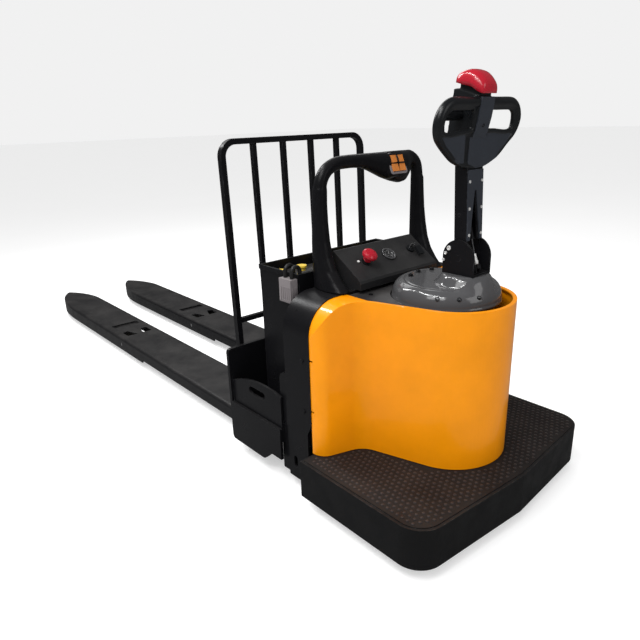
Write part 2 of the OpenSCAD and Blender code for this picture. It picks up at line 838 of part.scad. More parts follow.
// ---------- load backrest ----------
module flat_frame_2d(w, z0, z1, r, t) {
    difference() {
        translate([0, (z0 + z1) / 2 - r]) union() {
            translate([-w / 2, -(z1 - z0) / 2 + r]) square([w, z1 - z0 - r]);
            translate([-w / 2 + r, 0]) square([w - 2 * r, (z1 - z0) / 2 + r]);
            for (s = [-1, 1]) translate([s * (w / 2 - r), (z1 - z0) / 2]) circle(r);
        }
        translate([0, (z0 + z1) / 2 - r]) union() {
            translate([-w / 2 + t, -(z1 - z0)]) square([w - 2 * t, (z1 - z0) * 1.5]);
            translate([-w / 2 + r, -(z1 - z0)]) square([w - 2 * r, (z1 - z0) * 1.5 + r - t]);
            for (s = [-1, 1]) translate([s * (w / 2 - r), (z1 - z0) / 2]) circle(r - t);
        }
    }
}
module backrest() {
    z0 = 230;
    bar = 18;
    gap = (backrest_w - bar) / 5;
    color(black) translate([-carriage_x, 0, z0]) rotate([0, -2, 0])
        translate([0, 0, -z0]) {
            across_x(-20, 0) flat_frame_2d(backrest_w, z0, backrest_top, 55, bar);
            for (i = [1 : 4]) translate([0, -backrest_w / 2 + bar / 2 + i * gap, 0])
                box(-18, -2, -8, 8, 450, backrest_top - 10);
            box(-18, -2, -backrest_w / 2 + 4, backrest_w / 2 - 4, 443, 459);
        }
}

// ---------- battery ----------
module battery_case() {
    hw = battery_w / 2;
    z0 = tray_z + tray_t;
    color(black) difference() {
        union() {
            box(battery_x0, battery_x1, -hw, hw, z0, battery_top);
            box(battery_x0 - 4, battery_x1, -hw - 3, hw + 3, battery_top - 14, battery_top);
        }
        box(battery_x0 + 4, battery_x1 - 4, -hw + 4, hw - 4, z0 + 4, battery_top + 1);
    }
}
cell_dx = (battery_x1 - battery_x0 - 10) / 2;
cell_dy = (battery_w - 10) / 6;
module on_cells() {
    for (i = [0, 1], j = [0 : 5])
        translate([battery_x0 + 5 + (i + 0.5) * cell_dx,
                   -battery_w / 2 + 5 + (j + 0.5) * cell_dy, cell_top])
            children();
}
module battery_cells() {
    h = cell_top - tray_z - tray_t - 5;
    color(dark) on_cells() {
        translate([-cell_dx / 2 + 0.5, -cell_dy / 2 + 0.5, -h])
            cube([cell_dx - 1, cell_dy - 1, h]);
        for (s = [-1, 1]) translate([s * 26, 26, 0]) cylinder(r = 7, h = 8);
    }
}
module cell_caps() {
    color("gold") on_cells() {
        translate([0, -8, 0.05]) cylinder(r = 13, h = 10);
        translate([0, -8, 10]) cylinder(r = 17, h = 6);
    }
}
module cable_arch(x) {
    y0 = -battery_w / 2;
    translate([x, y0, battery_top + 6]) rotate([90, 0, 90])
        rotate_extrude(angle = 180) translate([15, 0]) circle(6);
    rod_z(x, y0 + 15, cell_top + 9, battery_top + 6, 6);
    rod_z(x, y0 - 15, 642, battery_top + 6, 6);
}
module battery_cables() {
    color(black) {
        for (x = [-368, -338]) cable_arch(x);
        for (j = [0 : 4]) translate([-410, -battery_w / 2 + 48 + j * cell_dy, cell_top + 8.05])
            cube([14, cell_dy - 8, 5]);
    }
}
module battery_connector() {
    color("gray") difference() {
        box(-380, -326, -battery_w / 2 - 31, -battery_w / 2 - 5, 572, 641.9);
        for (x = [-368, -338]) rod_z(x, -battery_w / 2 - 18, 570, 600, 7);
    }
}

// ---------- drive unit ----------
module gearbox() {
    color(dark) difference() {
        union() {
            rod_z(0, 0, mount_z - 30, mount_z + mount_t + 8, collar_r);
            rod_z(0, 0, mount_z - 38, mount_z - 4, 122);
            rod_z(0, 0, mount_z + mount_t + 1, mount_z + mount_t + 13, 118);
            box(-58, 58, 48, 92, axle_z, mount_z - 30);
            rod_y(0, axle_z, 48, 92, 58);
        }
        rod_y(0, axle_z, 40, 80, 20 + clear_r);
    }
}
module drive_motor() {
    z0 = mount_z + mount_t + 13;
    color(steel) {
        rod_z(0, 0, z0, z0 + 200, 82);
        rod_z(0, 0, z0 + 200, z0 + 222, 70);
        for (i = [0 : 11]) rotate(i * 30) box(80, 90, -3, 3, z0 + 20, z0 + 180);
    }
}
// Four posts on the gearbox flange that carry the tiller above the motor
module steering_column() {
    z0 = mount_z + mount_t + 13;
    z1 = bracket_z - 4;
    color(black) {
        for (a = [45 : 90 : 315]) rotate(a) translate([104, 0, 0]) {
            rod_z(0, 0, z0, z1 - 40, 9);
        }
        rod_z(0, 0, z1 - 50, z1 - 40, 116);
        rod_z(tilt_x, 0, z1 - 41, z1, 52);
    }
}
module dome_cover() {
    lip = 600;
    color(dark) difference() {
        union() {
            rotate_extrude($fn = 128) polygon([[0, lip], [dome_r, lip], [dome_r, lip + 10],
                [dome_r - 3, lip + 20], [dome_r - 8, lip + 34], [dome_r - 15, lip + 44],
                [dome_r - 24, lip + 50], [dome_r - 40, lip + 53], [0, lip + 53]]);
            rod_z(tilt_x, 0, lip + 50, bracket_z, 66);
        }
        rotate_extrude($fn = 128) polygon([[0, lip - 1], [dome_r - 4, lip - 1],
            [dome_r - 4, lip + 10], [dome_r - 12, lip + 34], [dome_r - 28, lip + 47],
            [0, lip + 49]]);
        rod_z(tilt_x, 0, lip + 40, bracket_z - 4, 62);
    }
}
module drive_hub() {
    hw = drive_wheel_w / 2;
    color(steel) {
        rod_y(0, axle_z, -hw + 6, hw - 6, 84);
        rod_y(0, axle_z, -hw + 2, hw - 2, 40);
        rod_y(0, axle_z, hw - 10, 78, 20);
        for (i = [0 : 4]) translate([0, -hw + 6, axle_z]) rotate([90, i * 72, 0])
            translate([28, 0, 0]) cylinder(r = 6, h = 8, $fn = 6);
    }
}
module drive_tyre() {
    hw = drive_wheel_w / 2;
    color(dark) translate([0, 0, axle_z]) rotate([90, 0, 0]) rotate_extrude($fn = 128)
        polygon([[84, -hw + 2], [axle_z - 6, -hw], [axle_z, -hw + 7], [axle_z, hw - 7],
                 [axle_z - 6, hw], [84, hw - 2]]);
}

// ---------- tiller ----------
module tiller_bracket() {
    color(black) difference() {
        union() {
            box(tilt_x - ear_r, tilt_x + ear_r, -ear_y, ear_y, bracket_z, bracket_z + 6);
            both_sides() along_y(ear_y - ear_t, ear_y) intersection() {
                union() {
                    translate([tilt_x - ear_r, bracket_z])
                        square([2 * ear_r, tilt_z - bracket_z]);
                    translate([tilt_x, tilt_z]) circle(ear_r, $fn = 96);
                }
                translate([0, bracket_z]) square(200);
            }
            both_sides() along_y(7, 12) {
                translate(gas_low) circle(7);
                translate([gas_low[0] - 7, bracket_z + 5]) square([14, 15]);
            }
            stop_bolt(-28.5, 24, 4.5);
            stop_bolt(-38.5, 10, 3);
            stop_bolt(-45, -9, 3);
        }
        rod_y(tilt_x, tilt_z, -ear_y - 1, ear_y + 1, pin_r + clear_r);
    }
}
module stop_bolt(dx, dz, r) {
    rod_y(tilt_x + dx, tilt_z + dz, -ear_y - 2.5, -ear_y + 1, r);
}
module tilt_pin() {
    color(steel) rod_y(tilt_x, tilt_z, -ear_y - 0.5, ear_y + 0.5, pin_r);
}
// Leans its children back about the tilt pin, as the tiller stands at rest
module leaned() {
    translate([tilt_x, 0, tilt_z]) rotate([0, -arm_lean, 0])
        translate([-tilt_x, 0, -tilt_z]) children();
}
module arm_outer(gap) {
    box(arm_x0 - gap, arm_x1 + gap, -arm_hw - gap, arm_hw + gap, arm_z0, arm_z1 + gap);
}
module tiller_arm() {
    color(black) difference() {
        union() {
            leaned() arm_outer(0);
            leaned() both_sides() along_y(arm_hw - 5, arm_hw) {
                translate([tilt_x - 18, tilt_z]) square([36, arm_z0 - tilt_z + 1]);
                translate([tilt_x, tilt_z]) circle(18);
            }
        }
        leaned() {
            box(arm_x0 + wall, arm_x1 - wall, -arm_hw + wall, arm_hw - wall,
                arm_z0 - 1, arm_z1 - 6);
            across_x(arm_x1 - wall - 1, arm_x1 + 1)
                polygon([[-17, arm_z0 - 1], [-2, 880], [2, 880], [17, arm_z0 - 1]]);
            for (z = screw_rows, y = [-26, 26]) rod_x(y, z, arm_x1 - 3, arm_x1 + 1, 2.5);
        }
        rod_y(tilt_x, tilt_z, -arm_hw - 1, arm_hw + 1, pin_r + clear_r);
        rod_y(gas_top[0], gas_top[1], -arm_hw - 1, arm_hw + 1, 4 + clear_r);
    }
}
module arm_cover() {
    color(dark) leaned() difference() {
        across_x(arm_x1, arm_x1 + 3) difference() {
            translate([-arm_hw + 1, arm_z0 + 2]) square([2 * arm_hw - 2, 176]);
            polygon([[-22, arm_z0], [-4, 895], [4, 895], [22, arm_z0]]);
        }
        for (z = screw_rows, y = [-26, 26]) rod_x(y, z, arm_x1 - 1, arm_x1 + 4, 2.6);
    }
}
module arm_screws() {
    color(steel) leaned() for (z = screw_rows, y = [-26, 26]) {
        rod_x(y, z, arm_x1 - 2.9, arm_x1 + 3.05, 2.4);
        rod_x(y, z, arm_x1 + 3.05, arm_x1 + 4.5, 3.8);
    }
}
module gas_spring_barrel() {
    color(dark) translate([gas_top[0], 0, gas_top[1]]) rotate([0, -gas_a, 0]) difference() {
        union() {
            rod_z(0, 0, -66, -6, 8);
            rod_y(0, 0, -5, 5, 7);
            rod_y(0, 0, -arm_hw + 0.5, arm_hw - 0.5, 4);
        }
        rod_z(0, 0, -67, -10, 4 + clear_r);
    }
}
module gas_spring_rod() {
    color(steel) translate([gas_top[0], 0, gas_top[1]]) rotate([0, -gas_a, 0]) {
        rod_z(0, 0, -gas_l + 6, -60, 4);
        difference() {
            rod_y(0, -gas_l, -5, 5, 8);
            rod_y(0, -gas_l, -6, 6, 4.2);
        }
    }
}
// Puts its children on the tiller head's tilted axes
module on_head() {
    translate([head_x, 0, head_z]) rotate([0, head_tilt, 0]) children();
}
module head_outline(inset) {
    loop_y = loops_w / 2 - loop_corner;
    intersection() {
        translate([0, chin_r]) circle(chin_r - inset, $fn = 160);
        translate([-loops_w / 2 + 23 + inset, 0]) square([loops_w - 46 - 2 * inset, loop_mid]);
    }
    for (s = [-1, 1]) translate([s * loop_y, loop_mid]) circle(loop_corner - inset);
    translate([-loop_y, loop_corner]) square([2 * loop_y, head_h - loop_corner - inset]);
}
// The hand openings: inside the loops, above the chin and beside the column
module head_windows() {
    intersection() {
        head_outline(loop_d);
        union() for (s = [-1, 1]) translate([s * 100, shelf_s + 50])
            square([2 * (100 - column_hw - 2), 100], center = true);
    }
}
module head_shell() {
    front = loop_d / 2;
    difference() {
        across_x(-front, front) head_outline(0);
        across_x(-front - 1, front + 1) head_windows();
        across_x(6, front + 1) intersection() {
            head_outline(12);
            translate([-200, 0]) square([400, shelf_s]);
        }
    }
    across_x(-38, -front + 1) intersection() {
        head_outline(14);
        translate([-200, 0]) square([400, shelf_s]);
    }
}
module tiller_head() {
    color(black) difference() {
        on_head() {
            head_shell();
            along_y(-column_hw, column_hw) polygon([[column_n0, 62], [column_n0, 183],
                [-66, 182], [column_n1, 164.5], [column_n1, 80], [5, 62]]);
            box(-58, 5, -column_hw + 2, column_hw - 2, 150, 196);
        }
        on_head() rod_y(throttle_n, throttle_s, -60, 60, 5 + clear_r);
        leaned() arm_outer(clear_r);
    }
}
module throttle() {
    color(black) on_head() {
        rod_y(throttle_n, throttle_s, -column_hw - 6, column_hw + 6, 5);
        both_sides() along_y(column_hw + 1.5, column_hw + 64) {
            translate([throttle_n, throttle_s]) circle(12);
            polygon([[throttle_n - 9, throttle_s + 6], [throttle_n + 9, throttle_s + 6],
                     [throttle_n + 5, throttle_s + 26], [throttle_n - 5, throttle_s + 26]]);
        }
    }
}
// Side view of the cap: domed top, upright front and a lower edge that drops forward
module cap_profile(inset) {
    intersection() {
        translate([-26, head_h]) circle(58.5 - inset, $fn = 96);
        polygon([[-68 + inset, 189], [-16, 185], [-5, 180], [7, 174], [14 - inset, 173],
                 [11 - inset, 240], [-68 + inset, 240]]);
    }
}
module cap_block(hw, top, r) {
    intersection() {
        along_y(-hw, hw) children();
        across_x(-80, 30) translate([0, top - 60]) rounded_rect(2 * hw, 120, r);
        translate([-27, 0, 150]) linear_extrude(100)
            rounded_rect(2 * hw + 12, 2 * hw, r - 4);
    }
}
module belly_button() {
    color(red) on_head() difference() {
        cap_block(36, 226, 24) cap_profile(0);
        cap_block(31, 221, 19) union() {
            cap_profile(4.5);
            translate([-63, 160]) square([72.5, 34]);
        }
    }
}
// Moves the truck from the steering axis to the middle of its length
module placed() {
    translate([(fork_tip_x - nose_tip_x) / 2, 0, 0]) children();
}

placed() chassis_frame();
placed() platform_frame();
placed() platform_mat();
placed() hood();
placed() top_cover();
placed() panel_box();
placed() panel_gauge();
placed() estop_base();
placed() key_switch();
placed() indicator_lamp();
placed() grab_bar();
placed() button_pod();
placed() lift_cylinder();
placed() pump_unit();
placed() controller();
placed() chassis_screws();
placed() key_tag();
placed() lift_carriage();
placed() fork_at(-1);  // fork_left
placed() fork_at(1);  // fork_right
placed() backrest();
placed() battery_case();
placed() battery_cells();
placed() cell_caps();
placed() battery_cables();
placed() battery_connector();
placed() lift_rod();
placed() torsion_shaft();
placed() push_rod_at(-1);  // push_rod_left
placed() push_rod_at(1);  // push_rod_right
placed() load_arm_at(-1);  // load_arm_left
placed() load_arm_at(1);  // load_arm_right
placed() load_roller(-1);  // load_roller_left
placed() load_roller(1);  // load_roller_right
placed() drive_motor();
placed() gearbox();
placed() steering_column();
placed() dome_cover();
placed() tiller_bracket();
placed() tilt_pin();
placed() drive_hub();
placed() drive_tyre();
placed() tiller_arm();
placed() arm_cover();
placed() arm_screws();
placed() tiller_head();
placed() gas_spring_barrel();
placed() gas_spring_rod();
placed() estop_button();
placed() ignition_key();
placed() pod_button(-1, -1);  // pod_button_1
placed() pod_button(-1, 1);  // pod_button_2
placed() pod_button(1, -1);  // pod_button_3
placed() pod_button(1, 1);  // pod_button_4
placed() belly_button();
placed() throttle();
placed() caster_fork(-caster_y);  // caster_fork_left
placed() caster_fork(caster_y);  // caster_fork_right
placed() caster_wheel(-caster_y);  // caster_wheel_left
placed() caster_wheel(caster_y);  // caster_wheel_right
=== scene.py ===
import json
import math
import bmesh
import bpy
from mathutils import Matrix, Vector


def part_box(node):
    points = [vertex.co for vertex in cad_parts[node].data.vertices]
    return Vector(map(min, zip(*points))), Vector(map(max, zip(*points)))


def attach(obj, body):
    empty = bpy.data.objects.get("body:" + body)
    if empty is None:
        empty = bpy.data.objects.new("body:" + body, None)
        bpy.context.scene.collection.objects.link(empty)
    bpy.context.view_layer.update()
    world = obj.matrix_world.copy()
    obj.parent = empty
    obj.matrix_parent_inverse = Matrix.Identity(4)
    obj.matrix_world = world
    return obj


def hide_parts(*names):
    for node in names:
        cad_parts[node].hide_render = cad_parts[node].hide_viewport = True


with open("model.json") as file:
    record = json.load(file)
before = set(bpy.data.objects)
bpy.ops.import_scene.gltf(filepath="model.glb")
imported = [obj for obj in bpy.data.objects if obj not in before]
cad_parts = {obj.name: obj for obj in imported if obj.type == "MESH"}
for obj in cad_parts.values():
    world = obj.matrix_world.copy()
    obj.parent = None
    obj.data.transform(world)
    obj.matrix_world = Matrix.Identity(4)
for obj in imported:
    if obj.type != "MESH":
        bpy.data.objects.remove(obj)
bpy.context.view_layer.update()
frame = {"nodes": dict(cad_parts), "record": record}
NODES = frame["nodes"]
JOINTS = {joint["name"]: joint for joint in frame["record"]["behaviour"]["joints"]}
STEER = Vector(JOINTS["steer"]["pos_m"])
MM = 0.001


# ---------- materials ----------
class Shader:
    """A material built from procedural nodes around one Principled shader."""

    def __init__(self, name):
        self.material = bpy.data.materials.new(name)
        self.material.use_nodes = True
        self.tree = self.material.node_tree
        self.bsdf = self.tree.nodes["Principled BSDF"]
        self.place = self.tree.nodes.new("ShaderNodeTexCoord").outputs["Object"]

    def link(self, source, target):
        self.tree.links.new(source, target)

    def noise(self, scale, detail=3.0, rough=0.5, stretch=(1, 1, 1)):
        node = self.tree.nodes.new("ShaderNodeTexNoise")
        node.inputs["Scale"].default_value = scale
        node.inputs["Detail"].default_value = detail
        node.inputs["Roughness"].default_value = rough
        if stretch != (1, 1, 1):
            mapping = self.tree.nodes.new("ShaderNodeMapping")
            mapping.inputs["Scale"].default_value = stretch
            self.link(self.place, mapping.inputs["Vector"])
            self.link(mapping.outputs["Vector"], node.inputs["Vector"])
        else:
            self.link(self.place, node.inputs["Vector"])
        return node.outputs["Fac"]

    def fit(self, value, low, high, out_low, out_high):
        node = self.tree.nodes.new("ShaderNodeMapRange")
        for key, number in (("From Min", low), ("From Max", high),
                            ("To Min", out_low), ("To Max", out_high)):
            node.inputs[key].default_value = number
        self.link(value, node.inputs["Value"])
        return node.outputs["Result"]

    def times(self, a, b):
        node = self.tree.nodes.new("ShaderNodeMath")
        node.operation = "MULTIPLY"
        self.link(a, node.inputs[0])
        self.link(b, node.inputs[1])
        return node.outputs[0]

    def mix(self, factor, a, b):
        node = self.tree.nodes.new("ShaderNodeMix")
        node.data_type = "RGBA"
        self.link(factor, node.inputs["Factor"])
        for value, socket in ((a, node.inputs["A"]), (b, node.inputs["B"])):
            if isinstance(value, tuple):
                socket.default_value = (*value, 1.0)
            else:
                self.link(value, socket)
        return node.outputs["Result"]

    def edges(self, radius):
        """1 on sharp edges and 0 on flat places."""
        bevel = self.tree.nodes.new("ShaderNodeBevel")
        bevel.samples = 4
        bevel.inputs["Radius"].default_value = radius
        geometry = self.tree.nodes.new("ShaderNodeNewGeometry")
        dot = self.tree.nodes.new("ShaderNodeVectorMath")
        dot.operation = "DOT_PRODUCT"
        self.link(bevel.outputs["Normal"], dot.inputs[0])
        self.link(geometry.outputs["Normal"], dot.inputs[1])
        return self.fit(dot.outputs["Value"], 0.995, 0.86, 0.0, 1.0)

    def upward(self):
        """1 on faces that look up and 0 on upright ones."""
        geometry = self.tree.nodes.new("ShaderNodeNewGeometry")
        split = self.tree.nodes.new("ShaderNodeSeparateXYZ")
        self.link(geometry.outputs["Normal"], split.inputs[0])
        return self.fit(split.outputs["Z"], 0.3, 0.95, 0.0, 1.0)

    def bump(self, value, height, strength=1.0, below=None):
        node = self.tree.nodes.new("ShaderNodeBump")
        node.inputs["Distance"].default_value = height
        node.inputs["Strength"].default_value = strength
        self.link(value, node.inputs["Height"])
        if below is not None:
            self.link(below, node.inputs["Normal"])
        return node.outputs["Normal"]

    def set(self, key, value):
        if isinstance(value, (int, float)):
            self.bsdf.inputs[key].default_value = value
        elif isinstance(value, tuple):
            self.bsdf.inputs[key].default_value = (*value, 1.0)
        else:
            self.link(value, self.bsdf.inputs[key])


def shade(colour, factor):
    return tuple(min(1.0, c * factor) for c in colour)


def finish(name, colour, rough, metallic=0.0, coat=0.0, patch=2.5, patch_amount=0.12,
           grain=900.0, grain_height=0.00004, wave=0.0, wear=None, wear_amount=0.4,
           dust=0.0, specular=0.3, stretch=(1, 1, 1)):
    """One finish: patchy colour, fine grain, uneven roughness, worn edges and dust on top."""
    s = Shader(name)
    large = s.fit(s.noise(patch, 4.0, 0.6), 0.3, 0.7, 0.0, 1.0)
    base = s.mix(large, shade(colour, 1 - patch_amount), shade(colour, 1 + patch_amount))
    if wear is not None:
        scuff = s.fit(s.noise(45.0, 5.0, 0.7), 0.48, 0.62, 0.0, wear_amount)
        base = s.mix(s.times(s.edges(0.0025), scuff), base, wear)
    if dust > 0:
        film = s.fit(s.noise(9.0, 6.0, 0.65), 0.35, 0.75, 0.2 * dust, dust)
        base = s.mix(s.times(s.upward(), film), base, (0.36, 0.34, 0.32))
    s.set("Base Color", base)
    smudge = s.noise(14.0, 5.0, 0.65)
    s.set("Roughness", s.fit(smudge, 0.25, 0.75, rough * 0.82, min(1.0, rough * 1.22)))
    normal = s.bump(s.noise(grain, 2.0, 0.5, stretch), grain_height)
    if wave > 0:
        normal = s.bump(s.noise(26.0, 2.0, 0.4), wave, below=normal)
    s.set("Normal", normal)
    s.set("Metallic", metallic)
    s.set("Coat Weight", coat)
    s.set("Coat Roughness", 0.06)
    s.set("Specular IOR Level", specular)
    return s.material


BLACK = (0.006, 0.006, 0.007)
black_paint = finish("black_paint", BLACK, 0.30, specular=0.11, grain=420.0,
                     grain_height=0.00012, wear=(0.10, 0.10, 0.105), dust=0.025)
fork_paint = finish("fork_paint", BLACK, 0.36, specular=0.2, grain=380.0,
                    grain_height=0.00014, wear=(0.16, 0.16, 0.165), wear_amount=0.7,
                    dust=0.08)
platform_paint = finish("platform_paint", (0.006, 0.006, 0.0065), 0.5, specular=0.16, grain=350.0,
                        grain_height=0.0002, wear=(0.13, 0.13, 0.135), dust=0.04)
amber_paint = finish("amber_paint", (0.92, 0.305, 0.001), 0.34, coat=0.55, specular=0.12, patch=7.0,
                     patch_amount=0.06, grain=210.0, grain_height=0.00003, wave=0.0006)
cover_plastic = finish("cover_plastic", (0.022, 0.021, 0.0215), 0.42, grain=700.0,
                       grain_height=0.00006, dust=0.12)
gloss_cover = finish("gloss_cover", (0.062, 0.062, 0.065), 0.15, coat=0.5, grain=260.0,
                     grain_height=0.00005, wave=0.0012, dust=0.05)
head_plastic = finish("head_plastic", (0.007, 0.0078, 0.009), 0.3, grain=800.0,
                      grain_height=0.00008)
face_plastic = finish("face_plastic", (0.026, 0.030, 0.039), 0.42, grain=900.0,
                      grain_height=0.0001)
panel_paint = finish("panel_paint", (0.014, 0.014, 0.015), 0.46, grain=520.0,
                     grain_height=0.00022, wear=(0.2, 0.2, 0.2), dust=0.06)
mat_rubber = finish("mat_rubber", (0.0055, 0.0042, 0.0042), 0.66, grain=600.0,
                    grain_height=0.0002, patch_amount=0.3, dust=0.03)
tyre_rubber = finish("tyre_rubber", (0.014, 0.014, 0.014), 0.75, grain=500.0,
                     grain_height=0.0002, dust=0.25)
steel = finish("steel", (0.46, 0.46, 0.47), 0.32, metallic=1.0, grain=160.0,
               grain_height=0.00005, stretch=(1, 1, 14))
bright_steel = finish("bright_steel", (0.66, 0.66, 0.67), 0.16, metallic=1.0,
                      grain=500.0, grain_height=0.00002)
stud_rubber = finish("stud_rubber", (0.019, 0.0135, 0.0135), 0.42, grain=600.0,
                     grain_height=0.0001, patch_amount=0.3, dust=0.07)
dark_steel = finish("dark_steel", (0.09, 0.09, 0.095), 0.3, metallic=1.0, grain=500.0,
                    grain_height=0.00002)
roller_plastic = finish("roller_plastic", (0.05, 0.045, 0.04), 0.4, grain=500.0,
                        grain_height=0.0001, dust=0.3)
red_plastic = finish("red_plastic", (0.40, 0.009, 0.022), 0.24, coat=0.5, patch_amount=0.06,
                     grain=600.0, grain_height=0.00003)
orange_plastic = finish("orange_plastic", (0.62, 0.2, 0.035), 0.36, grain=900.0,
                        grain_height=0.00005)
yellow_plastic = finish("yellow_plastic", (0.80, 0.56, 0.06), 0.35, grain=800.0,
                        grain_height=0.00005, dust=0.15)
grey_plastic = finish("grey_plastic", (0.20, 0.18, 0.185), 0.5, grain=800.0,
                      grain_height=0.0001, dust=0.2)
cable_rubber = finish("cable_rubber", (0.012, 0.012, 0.012), 0.45, grain=700.0,
                      grain_height=0.0001)
zinc = finish("zinc", (0.62, 0.62, 0.61), 0.38, metallic=0.35, specular=0.5, grain=600.0,
              grain_height=0.00003)
mark_paint = finish("mark_paint", (0.35, 0.35, 0.34), 0.5, grain=900.0,
                    grain_height=0.00001)
lamp_plastic = finish("lamp_plastic", (0.8, 0.8, 0.78), 0.25, coat=0.6, grain=800.0,
                      grain_height=0.00002)

CAD_FINISH = {
    "chassis_frame": black_paint, "platform_frame": platform_paint,
    "platform_mat": mat_rubber, "hood": amber_paint, "top_cover": cover_plastic,
    "panel_box": panel_paint, "panel_gauge": head_plastic, "estop_base": head_plastic,
    "key_switch": head_plastic, "indicator_lamp": lamp_plastic, "grab_bar": black_paint,
    "button_pod": head_plastic, "lift_cylinder": black_paint, "pump_unit": cover_plastic,
    "controller": steel, "chassis_screws": black_paint, "key_tag": head_plastic,
    "lift_carriage": black_paint, "fork_left": fork_paint, "fork_right": fork_paint,
    "backrest": black_paint, "battery_case": black_paint, "battery_cells": cover_plastic,
    "cell_caps": yellow_plastic, "battery_cables": cable_rubber,
    "battery_connector": grey_plastic, "lift_rod": bright_steel, "torsion_shaft": steel,
    "push_rod_left": steel, "push_rod_right": steel, "load_arm_left": steel,
    "load_arm_right": steel, "load_roller_left": roller_plastic,
    "load_roller_right": roller_plastic, "drive_motor": steel, "gearbox": cover_plastic,
    "steering_column": black_paint, "dome_cover": gloss_cover,
    "tiller_bracket": black_paint, "tilt_pin": black_paint, "drive_hub": steel,
    "drive_tyre": tyre_rubber, "tiller_arm": black_paint, "arm_cover": face_plastic,
    "arm_screws": zinc, "tiller_head": head_plastic,
    "gas_spring_barrel": black_paint, "gas_spring_rod": dark_steel,
    "estop_button": red_plastic, "ignition_key": bright_steel,
    "pod_button_1": orange_plastic, "pod_button_2": orange_plastic,
    "pod_button_3": orange_plastic, "pod_button_4": orange_plastic,
    "belly_button": red_plastic, "throttle": head_plastic, "caster_fork_left": steel,
    "caster_fork_right": steel, "caster_wheel_left": tyre_rubber,
    "caster_wheel_right": tyre_rubber,
}
EDGE_ROUND_MM = {
    "platform_frame": 4.0, "hood": 5.0, "lift_carriage": 2.0, "fork_left": 2.5,
    "fork_right": 2.5, "panel_box": 2.5, "battery_case": 1.5, "chassis_frame": 2.5,
    "tiller_bracket": 1.2, "tiller_arm": 2.0, "top_cover": 0.8, "battery_connector": 2.0,
    "backrest": 6.0, "battery_cells": 1.5, "platform_mat": 1.0, "gearbox": 3.0,
    "drive_motor": 1.5, "cell_caps": 1.5,
}


def dress_cad_nodes():
    """Gives each CAD node its finish, and breaks its sharp edges where they show."""
    for name, piece in NODES.items():
        piece.data.materials.clear()
        piece.data.materials.append(CAD_FINISH[name])
        for polygon in piece.data.polygons:
            polygon.use_smooth = True
        flat = piece.modifiers.new("merge_flats", "DECIMATE")
        flat.decimate_type = "DISSOLVE"
        flat.angle_limit = math.radians(0.4)
        round_mm = EDGE_ROUND_MM.get(name, 0.6)
        bevel = piece.modifiers.new("edge_round", "BEVEL")
        bevel.width = round_mm * MM
        bevel.segments = 3 if round_mm > 1 else 2
        bevel.limit_method = "ANGLE"
        bevel.angle_limit = math.radians(34)
        bevel.harden_normals = True
        bevel.use_clamp_overlap = True


dress_cad_nodes()


# ---------- shaping ----------
def node_box(*names):
    """Lowest and highest corner of one or more CAD nodes together, at rest."""
    lows, highs = zip(*((Vector(a), Vector(b)) for a, b in (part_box(n) for n in names)))
    return (Vector(min(p[i] for p in lows) for i in range(3)),
            Vector(max(p[i] for p in highs) for i in range(3)))


def smooth_path(points, steps=6, closed=False):
    """Catmull-Rom curve through the points."""
    pts = [Vector(p) for p in points]
    count = len(pts)
    out = []
    for k in range(count if closed else count - 1):
        if closed:
            a, b, c, d = (pts[(k + j) % count] for j in (-1, 0, 1, 2))
        else:
            a, b, c, d = (pts[min(max(k + j, 0), count - 1)] for j in (-1, 0, 1, 2))
        for step in range(steps):
            t = step / steps
            out.append(0.5 * ((2 * b) + (c - a) * t + (2 * a - 5 * b + 4 * c - d) * t * t
                              + (3 * b - a - 3 * c + d) * t ** 3))
    if not closed:
        out.append(pts[-1])
    return out


def loft(rings, closed=False):
    """Skin over rings of equal length, with end caps unless the rings close on themselves."""
    sides = len(rings[0])
    points = [Vector(p) for ring in rings for p in ring]
    faces = []
    count = len(rings)
    for k in range(count if closed else count - 1):
        a, b = k * sides, ((k + 1) % count) * sides
        for j in range(sides):
            n = (j + 1) % sides
            faces.append((a + j, a + n, b + n, b + j))
    if not closed:
        faces.append(tuple(reversed(range(sides))))
        faces.append(tuple(range((count - 1) * sides, count * sides)))
    return points, faces


def tube(path, radius, normal, sides=20, closed=False, squash=1.0):
    """Round tube along a path that lies in the plane of the given normal."""
    count = len(path)
    rings = []
    for k, point in enumerate(path):
        ahead = path[(k + 1) % count] if closed or k < count - 1 else point
        behind = path[k - 1] if closed or k > 0 else point
        side = (ahead - behind).normalized().cross(normal).normalized()
        r = radius[k] if isinstance(radius, list) else radius
        rings.append([point + side * (r * math.cos(a)) + normal * (r * squash * math.sin(a))
                      for a in (2 * math.pi * j / sides for j in range(sides))])
    return loft(rings, closed)


def prism(outline, place, low, high):
    """Flat plate: outline points pass through place(u, v, depth) at two depths."""
    return loft([[place(u, v, low) for u, v in outline],
                 [place(u, v, high) for u, v in outline]])


def make_mesh(name, parts):
    """One mesh from closed parts, each a list of points and a list of faces."""
    points, faces = [], []
    for part_points, part_faces in parts:
        base = len(points)
        points.extend(part_points)
        faces.extend(tuple(base + i for i in face) for face in part_faces)
    mesh = bpy.data.meshes.new(name)
    mesh.from_pydata([tuple(p) for p in points], [], faces)
    work = bmesh.new()
    work.from_mesh(mesh)
    bmesh.ops.recalc_face_normals(work, faces=work.faces)
    work.to_mesh(mesh)
    work.free()
    return mesh


